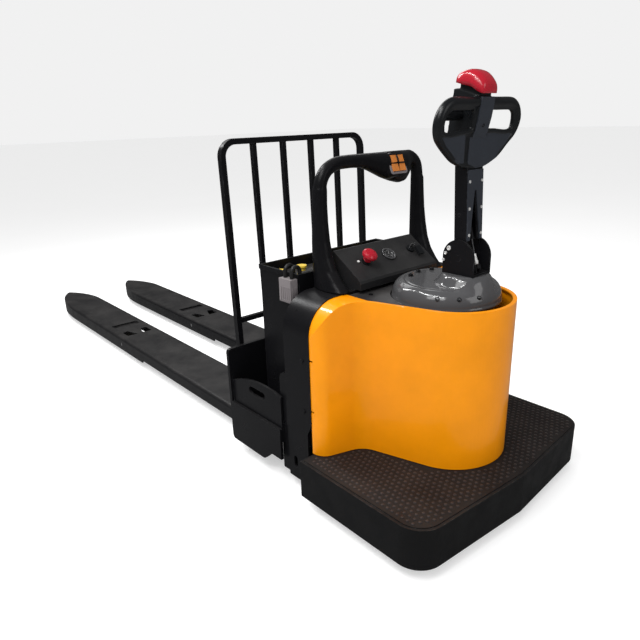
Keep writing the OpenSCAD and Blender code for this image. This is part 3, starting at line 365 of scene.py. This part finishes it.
def add_piece(name, mesh, material, body, replaced=(), bevel_mm=0.0, angle=30):
    """A visible piece that rides on a body, and may stand for CAD nodes."""
    piece = bpy.data.objects.new(name, mesh)
    bpy.context.scene.collection.objects.link(piece)
    mesh.materials.clear()
    mesh.materials.append(material)
    for polygon in mesh.polygons:
        polygon.use_smooth = True
    if bevel_mm > 0:
        bevel = piece.modifiers.new("edge_round", "BEVEL")
        bevel.width = bevel_mm * MM
        bevel.segments = 3
        bevel.limit_method = "ANGLE"
        bevel.angle_limit = math.radians(angle)
        bevel.harden_normals = True
    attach(piece, body)
    if replaced:
        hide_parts(*replaced)
    return piece


def mould(name, mesh, voxel_mm, rounds, cutter=None):
    """Melts overlapping closed shells into one skin and softens it, as moulded plastic."""
    work = bpy.data.objects.new(name, mesh)
    bpy.context.scene.collection.objects.link(work)
    remesh = work.modifiers.new("join", "REMESH")
    remesh.mode = "VOXEL"
    remesh.voxel_size = voxel_mm * MM
    soften = work.modifiers.new("soften", "SMOOTH")
    soften.factor = 0.6
    soften.iterations = rounds
    if cutter is not None:
        pocket = work.modifiers.new("pockets", "BOOLEAN")
        pocket.object = cutter
        pocket.operation = "DIFFERENCE"
        pocket.solver = "EXACT"
    bpy.context.view_layer.update()
    done = bpy.data.meshes.new_from_object(
        work.evaluated_get(bpy.context.evaluated_depsgraph_get()))
    bpy.data.objects.remove(work)
    return done


def soften_node(node, body, material, voxel_mm, rounds):
    """A CAD node's shape again, with moulded edges."""
    source = NODES[node].data.copy()
    source.transform(NODES[node].matrix_world)
    mesh = mould(node + "_shape", source, voxel_mm, rounds)
    return add_piece(node + "_moulded", mesh, material, body, (node,))


def arc(centre, radius, start, end, steps):
    """Points on a circle in a plane, from one angle to another in degrees."""
    return [(centre[0] + radius * math.cos(math.radians(a)),
             centre[1] + radius * math.sin(math.radians(a)))
            for a in (start + (end - start) * k / steps for k in range(steps + 1))]


def lathe(profile, centre, axis, sides=48):
    """Closed solid of revolution; profile is (radius, height) from the bottom up."""
    axis = Vector(axis).normalized()
    side = axis.orthogonal().normalized()
    other = axis.cross(side)
    return loft([[centre + axis * h + (side * math.cos(a) + other * math.sin(a)) * max(r, 1e-5)
                  for a in (2 * math.pi * j / sides for j in range(sides))]
                 for r, h in profile])


def hex_head(centre, axis, across, height):
    """Hexagonal bolt head with a round flange under it."""
    head = lathe([(across * 0.54, 0), (across * 0.577, height * 0.15),
                  (across * 0.577, height * 0.85), (across * 0.5, height)], centre, axis, 6)
    flange = lathe([(across * 0.7, -height * 0.1), (across * 0.7, height * 0.12),
                    (across * 0.6, height * 0.2)], centre, axis, 24)
    return [head, flange]


# ---------- tiller head ----------
HEAD_UP = -Vector(JOINTS["reverse_press"]["axis"])
HEAD_AHEAD = Vector((HEAD_UP.z, 0, -HEAD_UP.x))
HEAD_AT = Vector(JOINTS["throttle_turn"]["pos_m"]) + 0.042 * HEAD_AHEAD - 0.118 * HEAD_UP
TUBE_R = 12.8
CHIN_TUBE_R = 8.5
CHIN_R = 255
CORNER = (113, 105)
CORNER_R = 60
HEAD_H = 165
SHELF = 84


def on_head(y, s, n):
    """A point in mm on the head's own axes: sideways, up and towards the operator."""
    return HEAD_AT + MM * (s * HEAD_UP + n * HEAD_AHEAD + Vector((0, y, 0)))


def on_chin(y, s, n):
    """As on_head(), but the chin's lower part stands forward, level with the arm."""
    return on_head(y, s, n + 0.14 * max(0, 55 - s))


def half_outline(inset):
    """Right half of the head's outline, from the chin's lowest point to the top middle."""
    r = CHIN_R - inset
    chin = [(y, CHIN_R - math.sqrt(r * r - y * y) - 6 * (1 - (y / 98) ** 2))
            for y in (0, 25, 50, 75, 98)]
    round_end = arc(CORNER, CORNER_R - inset, -52, 90, 7)
    return chin + round_end + [(70, HEAD_H - inset), (35, HEAD_H - inset)]


def mirrored(right):
    """Whole closed outline from its right half, which starts on the middle line."""
    return right + [(0, right[-1][1])] + [(-y, s) for y, s in reversed(right[1:])]


def full_outline(inset):
    return mirrored(half_outline(inset))


def border_path():
    """Middle line and radius of the head's tube: thin round the chin, full in the loops."""
    thin, full = half_outline(CHIN_TUBE_R), half_outline(TUBE_R)
    right = []
    for k, (low, high) in enumerate(zip(thin, full)):
        share = min(max((k - 3) / 5, 0), 1)
        right.append(Vector((low[0] + (high[0] - low[0]) * share,
                             low[1] + (high[1] - low[1]) * share,
                             CHIN_TUBE_R + (TUBE_R - CHIN_TUBE_R) * share)))
    left = [Vector((-p.x, p.y, p.z)) for p in reversed(right[1:])]
    return smooth_path(right + [Vector((0, right[-1].y, TUBE_R))] + left, 5, True)


def below(outline, top):
    """An outline cut off at a level line."""
    return [(y, min(s, top)) for y, s in outline]


def window_outline(side):
    """One hand opening's edge, inside the loop and beside the column."""
    inner = arc(CORNER, CORNER_R - 25, -36, 90, 8)
    edge = inner + [(60, HEAD_H - 25), (34, HEAD_H - 27), (30, 112), (32, SHELF + 4),
                    (70, SHELF), (118, SHELF - 4)]
    return [(side * y, s) for y, s in edge]


def head_shell():
    """The head's overlapping parts: rim tube, window rims, chin, belly, column and post."""
    border = border_path()
    parts = [tube([on_chin(p.x, p.y, p.z * 0.9 - 11.5) for p in border],
                  [p.z * MM for p in border], HEAD_AHEAD, 24, True)]
    for side in (-1, 1):
        rim = smooth_path([on_head(y, s, 1) for y, s in window_outline(side)], 4, True)
        parts.append(tube(rim, [6.5 * MM] * len(rim), HEAD_AHEAD, 16, True))
    chin = below(full_outline(15), SHELF)
    parts.append(prism(chin, on_chin, -11, 2.0))
    belly = below(full_outline(42), SHELF - 14)
    parts.append(prism(belly, on_head, -30, -8))
    column = [(-72, 64), (-72, 176), (-62, 178), (11, 164), (10, 120), (7, 82), (3, 64)]
    parts.append(loft([[on_head(y, s, n) for n, s in column] for y in (-26, 28)]))
    post = [(-56, 150), (-56, 192), (4, 180), (4, 150)]
    parts.append(loft([[on_head(y, s, n) for n, s in post] for y in (-24, 24)]))
    return parts


# the cap's stations in mm: along the head, half width, top and lower edge
CAP_STATIONS = [(-73, 13, 199, 191), (-71, 22, 206, 190.5), (-64, 30, 214, 190),
                (-50, 35, 220.5, 189), (-34, 36, 223.5, 187.5), (-16, 36, 221, 185.5),
                (-4, 35, 215, 180), (6, 33, 207, 175.5), (12, 31, 200, 174),
                (15, 28, 194, 173.6)]


def add_cap():
    """The red cap: a thin domed shell, open below, with a flat front."""
    path = smooth_path([Vector((n, w, t)) for n, w, t, low in CAP_STATIONS], 3)
    lows = smooth_path([Vector((n, low, 0)) for n, w, t, low in CAP_STATIONS], 3)
    steps = 22
    points, faces = [], []
    for station, low in zip(path, lows):
        for k in range(steps + 1):
            a = math.pi * (1 - k / steps)
            y = station.y * math.copysign(abs(math.cos(a)) ** 0.62, math.cos(a))
            s = low.y + (station.z - low.y) * max(math.sin(a), 0) ** 0.62
            points.append(on_head(y, s, station.x))
    row = steps + 1
    for k in range(len(path) - 1):
        for j in range(steps):
            a = k * row + j
            faces.append((a, a + 1, a + 1 + row, a + row))
    faces.append(tuple(range(row)))
    last = (len(path) - 1) * row
    faces.append(tuple(reversed(range(last, last + row))))
    cap = add_piece("cap_shell", make_mesh("cap_shape", [(points, faces)]), red_plastic,
                    "reverse_button", ("belly_button",), 3.0, 40)
    wall = cap.modifiers.new("wall", "SOLIDIFY")
    wall.thickness = 2.5 * MM
    wall.offset = -1


def add_head():
    """The moulded head, its face plates, its screws, the cap and the thumb paddles."""
    shape = make_mesh("head_shape", head_shell())
    mesh = mould("head_shape", shape, 2.0, 7)
    add_piece("head_shell", mesh, head_plastic, "tiller", ("tiller_head",))
    chin_edge = [(y, s) for y, s in half_outline(3.5) if s < SHELF - 8]
    reach = [(146, SHELF - 6), (120, SHELF - 2), (90, SHELF)]
    left = ([(-50, 12)] + [(-y, s) for y, s in chin_edge if y > 54]
            + [(-y, s) for y, s in reach] + [(-54, SHELF)])
    right = ([(-34, 9)] + chin_edge + reach + [(36, SHELF), (33, SHELF - 10),
             (-34, SHELF - 10)])
    for name, outline in (("left", left), ("right", right)):
        plate = make_mesh("face_shape", [prism(outline, on_chin, -6, 5.0)])
        add_piece(f"head_face_{name}", plate, face_plastic, "tiller", (), 3.6)
    slope = [(4.8, SHELF - 20), (5.4, SHELF - 12), (9.6, SHELF + 4), (13.2, 120), (14.4, 166),
             (8, 166), (2, SHELF), (1, SHELF - 20)]
    column_face = make_mesh("column_face_shape", [loft([[on_head(y, s, n) for n, s in slope]
                                                        for y in (-25, 29)])])
    add_piece("column_face", column_face, face_plastic, "tiller", (), 1.4)
    screws = []
    for y, s, n in ((107, 52, 5.4), (-107, 52, 5.4), (2, 100, 11.2)):
        screws.append(lathe([(4.6 * MM, -2 * MM), (4.6 * MM, 0.6 * MM), (3.4 * MM, 1.2 * MM),
                             (3.2 * MM, -0.6 * MM), (0, -0.8 * MM)], on_head(y, s, n),
                            HEAD_AHEAD, 24))
    add_piece("head_screws", make_mesh("head_screw_shape", screws), black_paint, "tiller")
    add_cap()
    soften_node("throttle", "throttle", head_plastic, 1.0, 6)


# ---------- grab bar ----------
def egg(centre, across, half_width, upward, half_height, sides=28):
    """Slightly squared oval round a centre, from two directions and their half sizes."""
    ring = []
    for j in range(sides):
        a = 2 * math.pi * j / sides
        c, d = math.cos(a), math.sin(a)
        ring.append(centre + across * (half_width * math.copysign(abs(c) ** 0.85, c))
                    + upward * (half_height * math.copysign(abs(d) ** 0.85, d)))
    return ring


# height over the floor, sideways place, half width, how far forward, half depth (m)
LEG_RINGS = [(0.895, 0.207, 0.0195, 0.000, 0.0195), (0.850, 0.209, 0.0200, 0.000, 0.0210),
             (0.800, 0.210, 0.0215, 0.001, 0.0230), (0.750, 0.211, 0.0240, 0.004, 0.0260),
             (0.705, 0.211, 0.0260, 0.009, 0.0310), (0.670, 0.210, 0.0275, 0.017, 0.0390),
             (0.640, 0.209, 0.0290, 0.029, 0.0510), (0.622, 0.208, 0.0310, 0.038, 0.0600),
             (0.614, 0.208, 0.0330, 0.042, 0.0640)]
# sideways place, height of the underside, half depth, how far forward (m)
GRIP_RINGS = [(-0.090, 0.942, 0.0185, 0.000), (-0.050, 0.939, 0.0200, 0.001),
              (-0.025, 0.931, 0.0220, 0.002), (0.000, 0.920, 0.0250, 0.004),
              (0.035, 0.904, 0.0300, 0.007), (0.070, 0.892, 0.0330, 0.009),
              (0.100, 0.885, 0.0330, 0.009), (0.126, 0.887, 0.0290, 0.006),
              (0.144, 0.899, 0.0240, 0.003), (0.157, 0.922, 0.0200, 0.001),
              (0.166, 0.938, 0.0180, 0.000)]
# middle line of the bar between the legs: sideways place and height (m)
BAR_LINE = [(-0.207, 0.870), (-0.207, 0.895), (-0.199, 0.921), (-0.180, 0.943),
            (-0.150, 0.956), (-0.115, 0.960), (0.0, 0.960), (0.145, 0.960),
            (0.176, 0.954), (0.196, 0.936), (0.204, 0.908), (0.207, 0.880)]


# the bar's middle line stands this far in front of its feet's rear edge (m)
BAR_IN = 0.021


def add_grab_bar():
    """The hoop with its flared feet and thick grip, and the button pad let into the grip."""
    low, high = node_box("grab_bar")
    x = low.x + BAR_IN
    across, sideways, upward = Vector((1, 0, 0)), Vector((0, 1, 0)), Vector((0, 0, 1))
    path = smooth_path([Vector((x, y, z)) for y, z in BAR_LINE], 5)
    parts = [tube(path, [0.0188] * len(path), across, 28)]
    for side in (-1, 1):
        rings = [egg(Vector((x + ahead, side * y, z)), across, depth, sideways, width)
                 for z, y, width, ahead, depth in LEG_RINGS]
        parts.append(loft(rings))
    rings = []
    for y, underside, depth, ahead in GRIP_RINGS:
        top = high.z + 0.002
        centre = Vector((x + ahead, y, (top + underside) / 2))
        rings.append(egg(centre, across, depth, upward, (top - underside) / 2))
    parts.append(loft(rings))
    pad_low, pad_high = node_box("pod_button_1", "pod_button_2", "pod_button_3",
                                 "pod_button_4")
    centre = (pad_low + pad_high) / 2
    lean = -Vector(JOINTS["pod_press_1"]["axis"])
    down = Vector((lean.z, 0, -lean.x))
    pad = rounded_rectangle(0.074, 0.080, 0.016)
    pad_face = rounded_rectangle(0.064, 0.072, 0.009)

    def on_pad(u, v, depth):
        return centre + lean * depth + down * u + Vector((0, v, 0))

    parts.append(prism(pad, on_pad, -0.03, -0.002))
    cutters = []
    for k in range(1, 5):
        button_low, button_high = node_box(f"pod_button_{k}")
        at = (button_low + button_high) / 2 - centre
        u, v = at.dot(down), at.y
        hole = [(u + su * 0.0114, v + sv * 0.0134)
                for su, sv in ((-1, -1), (1, -1), (1, 1), (-1, 1))]
        cutters.append(prism(hole, on_pad, -0.007, 0.02))
    cutter = bpy.data.objects.new("button_pockets", make_mesh("button_pockets", cutters))
    bpy.context.scene.collection.objects.link(cutter)
    mesh = mould("grab_shape", make_mesh("grab_shape", parts), 2.2, 8, cutter)
    face = mould("pod_face", make_mesh("pod_face", [prism(pad_face, on_pad, -0.006, 0.0)]),
                 0.8, 3, cutter)
    bpy.data.objects.remove(cutter)
    add_piece("pod_face", face, grey_plastic, "chassis")
    add_piece("grab_bar_moulded", mesh, black_paint, "chassis", ("grab_bar", "button_pod"))


def rounded_rectangle(width, height, radius):
    """Outline of a rectangle round the origin, with round corners."""
    out = []
    for sx, sy, start in ((1, 1, 0), (-1, 1, 90), (-1, -1, 180), (1, -1, 270)):
        out += arc((sx * (width / 2 - radius), sy * (height / 2 - radius)), radius, start,
                   start + 90, 5)
    return out


# ---------- hood ----------
# where the shoulders are (m): how far under the hood's top, how far out from the middle,
# and how far behind the steering axis
SHOULDER_DROP = 0.11
SHOULDER_IN = 0.222
SHOULDER_BACK = 0.183
OUTER_ROUND_MM = 22
INNER_ROUND_MM = 18


def shoulder_edges(work, top, outside):
    """The hood's top edges on its two shoulders, on its outer or inner skin."""
    found = []
    for edge in work.edges:
        if len(edge.link_faces) != 2:
            continue
        place = (edge.verts[0].co + edge.verts[1].co) / 2
        if (place.z < top - SHOULDER_DROP or abs(place.y) < SHOULDER_IN
                or place.x < STEER.x - SHOULDER_BACK):
            continue
        roof, wall = sorted((face.normal for face in edge.link_faces),
                            key=lambda normal: -abs(normal.z))
        faces_out = wall.x * (place.x - STEER.x) + wall.y * place.y > 0
        faces_up = roof.z > 0
        if (abs(roof.z) > 0.12 and abs(wall.z) < 0.1 and faces_out == faces_up == outside
                and roof.angle(wall) > math.radians(25)):
            found.append(edge)
    return found


def add_hood():
    """The hood again, with its sharp shoulders rounded as a moulding's are."""
    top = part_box("hood")[1][2]
    source = NODES["hood"]
    mesh = source.data.copy()
    mesh.transform(source.matrix_world)
    work = bmesh.new()
    work.from_mesh(mesh)
    bmesh.ops.dissolve_limit(work, angle_limit=math.radians(0.4), verts=work.verts,
                             edges=work.edges)
    for outside, radius in ((True, OUTER_ROUND_MM), (False, INNER_ROUND_MM)):
        bmesh.ops.bevel(work, geom=shoulder_edges(work, top, outside), offset=radius * MM,
                        segments=7, profile=0.5, affect="EDGES", clamp_overlap=True)
    work.to_mesh(mesh)
    work.free()
    add_piece("hood_shell", mesh, amber_paint, "chassis", ("hood",), 3.5, 34)


# ---------- panel details ----------
def add_gauge_dial():
    """A ring round the gauge's recess, and ticks and a needle inside it."""
    low, high = node_box("panel_gauge")
    facing = -Vector(JOINTS["estop_press"]["axis"])
    down = Vector((facing.z, 0, -facing.x))
    centre = (low + high) / 2
    reach = max((corner - centre).dot(facing) for corner in gauge_corners())
    top = centre + facing * reach
    ring = lathe([(0.0235, -0.002), (0.0235, 0.0008), (0.0222, 0.002), (0.0195, 0.002),
                  (0.0182, 0.0006), (0.0182, -0.002)], top, facing, 64)
    add_piece("gauge_ring", make_mesh("gauge_ring_shape", [ring]), gloss_cover, "chassis")
    marks = []
    for k in range(9):
        a = math.radians(-120 + 30 * k)
        way = Vector((0, math.sin(a), 0)) - down * math.cos(a)
        marks.append(bar_mark(top - facing * 0.0016 + way * 0.0125, way, facing, 0.004, 0.001))
    needle = (Vector((0, 0.5, 0)) - down * 0.866)
    marks.append(bar_mark(top - facing * 0.0012 + needle * 0.004, needle, facing, 0.013,
                          0.0012))
    add_piece("gauge_marks", make_mesh("gauge_mark_shape", marks), mark_paint, "chassis")


def gauge_corners():
    """Every point of the gauge's CAD mesh, in the shared frame."""
    node = NODES["panel_gauge"]
    return [node.matrix_world @ vertex.co for vertex in node.data.vertices]


def bar_mark(centre, along, facing, length, width):
    """A printed bar: a very thin strip that lies on a surface."""
    side = along.cross(facing) * (width / 2)
    half = along * (length / 2)
    rings = [[centre + end + s + facing * h for s, h in ((-side, 0), (side, 0),
             (side, 0.0005), (-side, 0.0005))] for end in (-half, half)]
    return loft(rings)


def block(centre, half):
    """A plain box as one closed part, for ribs and strips."""
    (x, y, z), (a, b, c) = centre, half
    corners = ((-1, -1), (1, -1), (1, 1), (-1, 1))
    return loft([[(x + i * a, y + j * b, z + k * c) for i, j in corners] for k in (-1, 1)])


# ---------- dome under the tiller ----------
def add_dome():
    """The dome with its raised boss round the tiller, three bolts and three plugs."""
    low, high = node_box("dome_cover")
    radius = (high.y - low.y) / 2
    boss_x = JOINTS["tiller_tilt"]["pos_m"][0] - STEER.x
    boss_h = high.z - low.z
    edge = [(1.0, 0.0), (1.0, 0.006), (0.993, 0.007), (0.993, 0.012), (0.984, 0.021),
            (0.962, 0.031), (0.93, 0.0395), (0.89, 0.0455), (0.84, 0.0495), (0.78, 0.0515),
            (0.76, 0.0500), (0.75, 0.0502)]
    edge += [(0.74 - 0.74 * k / 34, 0.0512 + 0.002 * k / 34) for k in range(35)]
    sides = 144

    def lift(p, z):
        d = math.hypot(p.x - boss_x, p.y)
        t = min(max((0.083 - d) / 0.026, 0), 1)
        t = t * t * (3 - 2 * t)
        return z + (boss_h - z) * t

    rings = []
    for share, z in edge:
        ring = []
        for j in range(sides):
            a = 2 * math.pi * j / sides
            p = Vector((radius * share * math.cos(a), radius * share * math.sin(a), 0))
            ring.append(Vector((STEER.x + p.x, p.y, low.z + lift(p, z))))
        rings.append(ring)
    points, faces = loft(rings)
    mesh = make_mesh("dome_shape", [(points, faces[:-2] + faces[-1:])])
    dome = add_piece("dome_moulded", mesh, gloss_cover, "steering", ("dome_cover",))
    shell = dome.modifiers.new("wall", "SOLIDIFY")
    shell.thickness = 3 * MM
    shell.offset = -1
    top = Vector((STEER.x, 0, low.z))
    bolts = []
    for a in (152, 180, 208):
        spot = top + Vector((0.1 * math.cos(math.radians(a)), 0.1 * math.sin(math.radians(a)),
                             0.052))
        bolts += hex_head(spot, (0, 0, 1), 0.011, 0.006)
    add_piece("dome_bolts", make_mesh("dome_bolt_shape", bolts), black_paint, "steering")
    plugs = []
    for a in (-62, -40, -18):
        out = Vector((math.cos(math.radians(a)), math.sin(math.radians(a)), 0.9)).normalized()
        flat = Vector((math.cos(math.radians(a)), math.sin(math.radians(a)), 0))
        spot = top + flat * (radius * 0.948) + Vector((0, 0, 0.0345))
        plugs.append(lathe([(0.0062, -0.003), (0.0062, 0.0008), (0.0048, 0.0016),
                            (0.0036, 0.0016), (0.003, 0.0002), (0, 0)], spot, out, 24))
    add_piece("dome_plugs", make_mesh("dome_plug_shape", plugs), head_plastic, "steering")


# ---------- small fittings, and painted shade in the fork slots ---
def add_connector_grips():
    """Finger ribs down the outer face and the ends of the battery connector."""
    low, high = node_box("battery_connector")
    rib, reach, rise = 1.6 * MM, 1.4 * MM, (high.z - low.z) * 0.62
    centre = (low + high) / 2
    bars = []
    for k in range(5):
        x = low.x + (high.x - low.x) * (k + 1) / 6
        bars.append(((x, low.y, low.z + rise * 0.58), (rib, reach, rise / 2)))
    for x in (low.x, high.x):
        for y in (centre.y - 6 * MM, centre.y, centre.y + 6 * MM):
            bars.append(((x, y, low.z + rise * 0.58), (reach, rib, rise / 2)))
    bars.append(((centre.x, low.y, low.z + 5 * MM),
                 ((high.x - low.x) / 2 - 3 * MM, reach, 3 * MM)))
    mesh = make_mesh("connector_grips_shape", [block(*bar) for bar in bars])
    add_piece("connector_grips", mesh, grey_plastic, "lift_frame", (), 0.5)


def add_stop_bolts():
    """Three bolts on the bracket's near ear, round the tilt pin."""
    pin = Vector(JOINTS["tiller_tilt"]["pos_m"])
    low = node_box("tiller_bracket")[0]
    parts = []
    for dx, dz, r in ((-0.0285, 0.024, 0.0062), (-0.0385, 0.010, 0.0042),
                      (-0.045, -0.009, 0.0042)):
        seat = Vector((pin.x + dx, low.y, pin.z + dz))
        parts.append(lathe([(r, -0.004), (r, 0.0008), (r * 0.86, 0.0016), (r * 0.62, 0.0016),
                            (r * 0.5, 0.0002), (0, 0)], seat, (0, -1, 0), 24))
    add_piece("stop_bolts", make_mesh("stop_bolt_shape", parts), zinc, "steering")


def add_gas_spring_end():
    """Ball-socket collar at the rod's lower end."""
    low, high = node_box("gas_spring_rod")
    along = Vector(JOINTS["gas_rod_slide"]["axis"])
    along = along if along.z > 0 else -along
    foot = Vector((high.x - 0.007, (low.y + high.y) / 2, low.z + 0.007)) + along * 0.008
    collar = lathe([(0.0068, 0), (0.0074, 0.002), (0.0074, 0.009), (0.006, 0.012),
                    (0.0052, 0.026), (0.0042, 0.028)], foot, along, 28)
    add_piece("gas_spring_collar", make_mesh("collar_shape", [collar]), zinc, "gas_rod")


def add_slot_shade_sheets():
    """Thin strip under each fork's cross slot, over the load roller, in black paint: painted shade
    that keeps the slot dark where the pale floor would show through.
    """
    for side in ("left", "right"):
        roller = Vector(JOINTS[f"load_roller_spin_{side}"]["pos_m"])
        low, high = node_box(f"fork_{side}")
        middle = (low.y + high.y) / 2
        x, z = roller.x + 0.006, high.z - 0.0078
        ring = [(x - 0.03, middle - 0.088), (x + 0.075, middle - 0.088),
                (x + 0.075, middle + 0.088), (x - 0.03, middle + 0.088)]
        strip = loft([[Vector((u, v, z + h)) for u, v in ring] for h in (0, 0.0016)])
        # each strip is painted shade: a black sheet standing for the shadow inside the slot
        add_piece(f"slot_shade_sheet_{side}", make_mesh("slot_shade_shape", [strip]), fork_paint,
                  "lift_frame")


# ---------- platform studs ----------
STUD_PITCH = 0.0165
STUD_R = 0.0048
STUD_REACH = 0.009


def add_mat_studs():
    """Round studs in staggered rows, wherever the mat is not under the hood."""
    low, high = node_box("platform_mat")
    scene = bpy.context.scene
    depsgraph = bpy.context.evaluated_depsgraph_get()
    parts = []
    rows = int((high.y - low.y) / STUD_PITCH)
    columns = int((high.x - low.x) / STUD_PITCH)
    for row in range(rows + 1):
        for column in range(columns + 1):
            x = low.x + STUD_PITCH * (column + 0.5 * (row % 2))
            y = low.y + STUD_PITCH * row
            if not all(top_hit(scene, depsgraph, x + dx, y + dy, high.z)
                       for dx, dy in ((STUD_REACH, 0), (-STUD_REACH, 0), (0, STUD_REACH),
                                      (0, -STUD_REACH))):
                continue
            centre = Vector((x, y, high.z))
            parts.append(lathe([(STUD_R, -0.0004), (STUD_R * 0.86, 0.0011),
                                (STUD_R * 0.45, 0.0016)], centre, (0, 0, 1), 8))
    mesh = make_mesh("stud_shape", parts)
    add_piece("mat_studs", mesh, stud_rubber, "chassis")


def top_hit(scene, depsgraph, x, y, level):
    """True if nothing stands over the mat at this spot."""
    hit, place, normal, index, found, matrix = scene.ray_cast(
        depsgraph, Vector((x, y, level + 1.5)), Vector((0, 0, -1)))
    return hit and found.name == NODES["platform_mat"].name


add_mat_studs()
add_gauge_dial()
add_connector_grips()
add_stop_bolts()
add_gas_spring_end()
# painted shade: black sheets inside the fork slots
add_slot_shade_sheets()
add_hood()
add_dome()
add_grab_bar()
add_head()


# ---------- stage ----------
# the camera, solved from the truck's straight edges: its place from the steering axis in
# metres, and its heading, downward tilt and roll in degrees
CAMERA_AHEAD, CAMERA_SIDE, CAMERA_UP = 0.9297, -1.2648, 1.0792
CAMERA_TURN = (139.3, 19.4, 1.7)
LENS_MM = 32.28
SENSOR_MM = 36.0
FLOOR_HALF = 40.0
FLOOR_GLOW = 0.49
WORLD_SEEN = 0.88
WORLD_DIFFUSE = 0.55
WORLD_GLOSSY = 0.12


def look_from(yaw, pitch, roll):
    """Camera rotation from its heading, downward tilt and roll, in degrees."""
    y, p, r = (math.radians(a) for a in (yaw, pitch, roll))
    ahead = Vector((math.cos(y) * math.cos(p), math.sin(y) * math.cos(p), -math.sin(p)))
    level = Vector((math.sin(y), -math.cos(y), 0.0))
    below = ahead.cross(level)
    right = level * math.cos(r) + below * math.sin(r)
    down = below * math.cos(r) - level * math.sin(r)
    return Matrix((right, -down, -ahead)).transposed().to_4x4()


def add_camera():
    """The camera at the photograph's viewing angle."""
    data = bpy.data.cameras.new("camera")
    data.lens = LENS_MM
    data.sensor_width = SENSOR_MM
    camera = bpy.data.objects.new("camera", data)
    bpy.context.scene.collection.objects.link(camera)
    camera.matrix_world = (Matrix.Translation((STEER.x + CAMERA_AHEAD, CAMERA_SIDE, CAMERA_UP))
                           @ look_from(*CAMERA_TURN))
    bpy.context.scene.camera = camera


def add_floor():
    """Pale floor that glows for the camera alone and stays dark in reflections."""
    mesh = bpy.data.meshes.new("floor")
    mesh.from_pydata([(i * FLOOR_HALF, j * FLOOR_HALF, 0)
                      for i, j in ((-1, -1), (1, -1), (1, 1), (-1, 1))], [], [(0, 1, 2, 3)])
    floor = bpy.data.objects.new("floor", mesh)
    bpy.context.scene.collection.objects.link(floor)
    s = Shader("floor")
    rays = s.tree.nodes.new("ShaderNodeLightPath").outputs
    tone = s.mix(s.noise(1.5), (0.66, 0.66, 0.66), (0.69, 0.69, 0.69))
    s.set("Base Color", s.mix(rays["Is Glossy Ray"], tone, (0.2, 0.2, 0.2)))
    s.set("Emission Color", (1.0, 1.0, 1.0))
    s.set("Emission Strength", s.fit(rays["Is Camera Ray"], 0.0, 1.0, 0.0, FLOOR_GLOW))
    s.set("Roughness", 0.85)
    mesh.materials.append(s.material)


def add_light(name, place, aim, size, power):
    """A rectangular lamp turned towards a point, and hidden from the camera."""
    data = bpy.data.lights.new(name, "AREA")
    data.shape = "RECTANGLE"
    data.size, data.size_y = size
    data.energy = power
    light = bpy.data.objects.new(name, data)
    bpy.context.scene.collection.objects.link(light)
    light.visible_camera = False
    light.location = place
    light.rotation_euler = (Vector(aim) - Vector(place)).to_track_quat("-Z", "Y").to_euler()


def add_stage():
    """Floor, lamps and a white world that glossy surfaces see only faintly."""
    add_floor()
    x = STEER.x
    add_light("key", (x + 0.6, -2.6, 3.2), (x - 0.1, 0, 0.5), (2.2, 1.2), 40)
    add_light("side", (x + 3.2, 0.6, 2.2), (x, 0, 0.4), (1.6, 2.0), 20)
    add_light("back", (x - 3.2, 1.6, 3.0), (x - 1.0, 0, 0.2), (3.0, 1.5), 26)
    add_light("shoulder", (x - 2.5, -0.5, 2.7), (x - 0.24, -0.3, 0.6), (0.35, 1.5), 40)
    for k in range(3):
        add_light(f"strip_{k}", (x - 1.2 + 0.9 * k, -1.2 - 0.5 * k, 3.6),
                  (x - 0.2, -0.1, 0.4), (1.4, 0.10), 26)
    world = bpy.data.worlds.new("world")
    world.use_nodes = True
    nodes, links = world.node_tree.nodes, world.node_tree.links
    rays = nodes.new("ShaderNodeLightPath").outputs
    seen = nodes.new("ShaderNodeMapRange")
    seen.inputs["To Min"].default_value = WORLD_DIFFUSE
    seen.inputs["To Max"].default_value = WORLD_SEEN
    links.new(rays["Is Camera Ray"], seen.inputs["Value"])
    strength = nodes.new("ShaderNodeMapRange")
    strength.inputs["To Max"].default_value = WORLD_GLOSSY
    links.new(rays["Is Glossy Ray"], strength.inputs["Value"])
    links.new(seen.outputs["Result"], strength.inputs["To Min"])
    background = nodes["Background"]
    background.inputs["Color"].default_value = (1.0, 1.0, 1.0, 1.0)
    links.new(strength.outputs["Result"], background.inputs["Strength"])
    bpy.context.scene.world = world
    bpy.context.scene.view_settings.view_transform = "Standard"


add_stage()
add_camera()
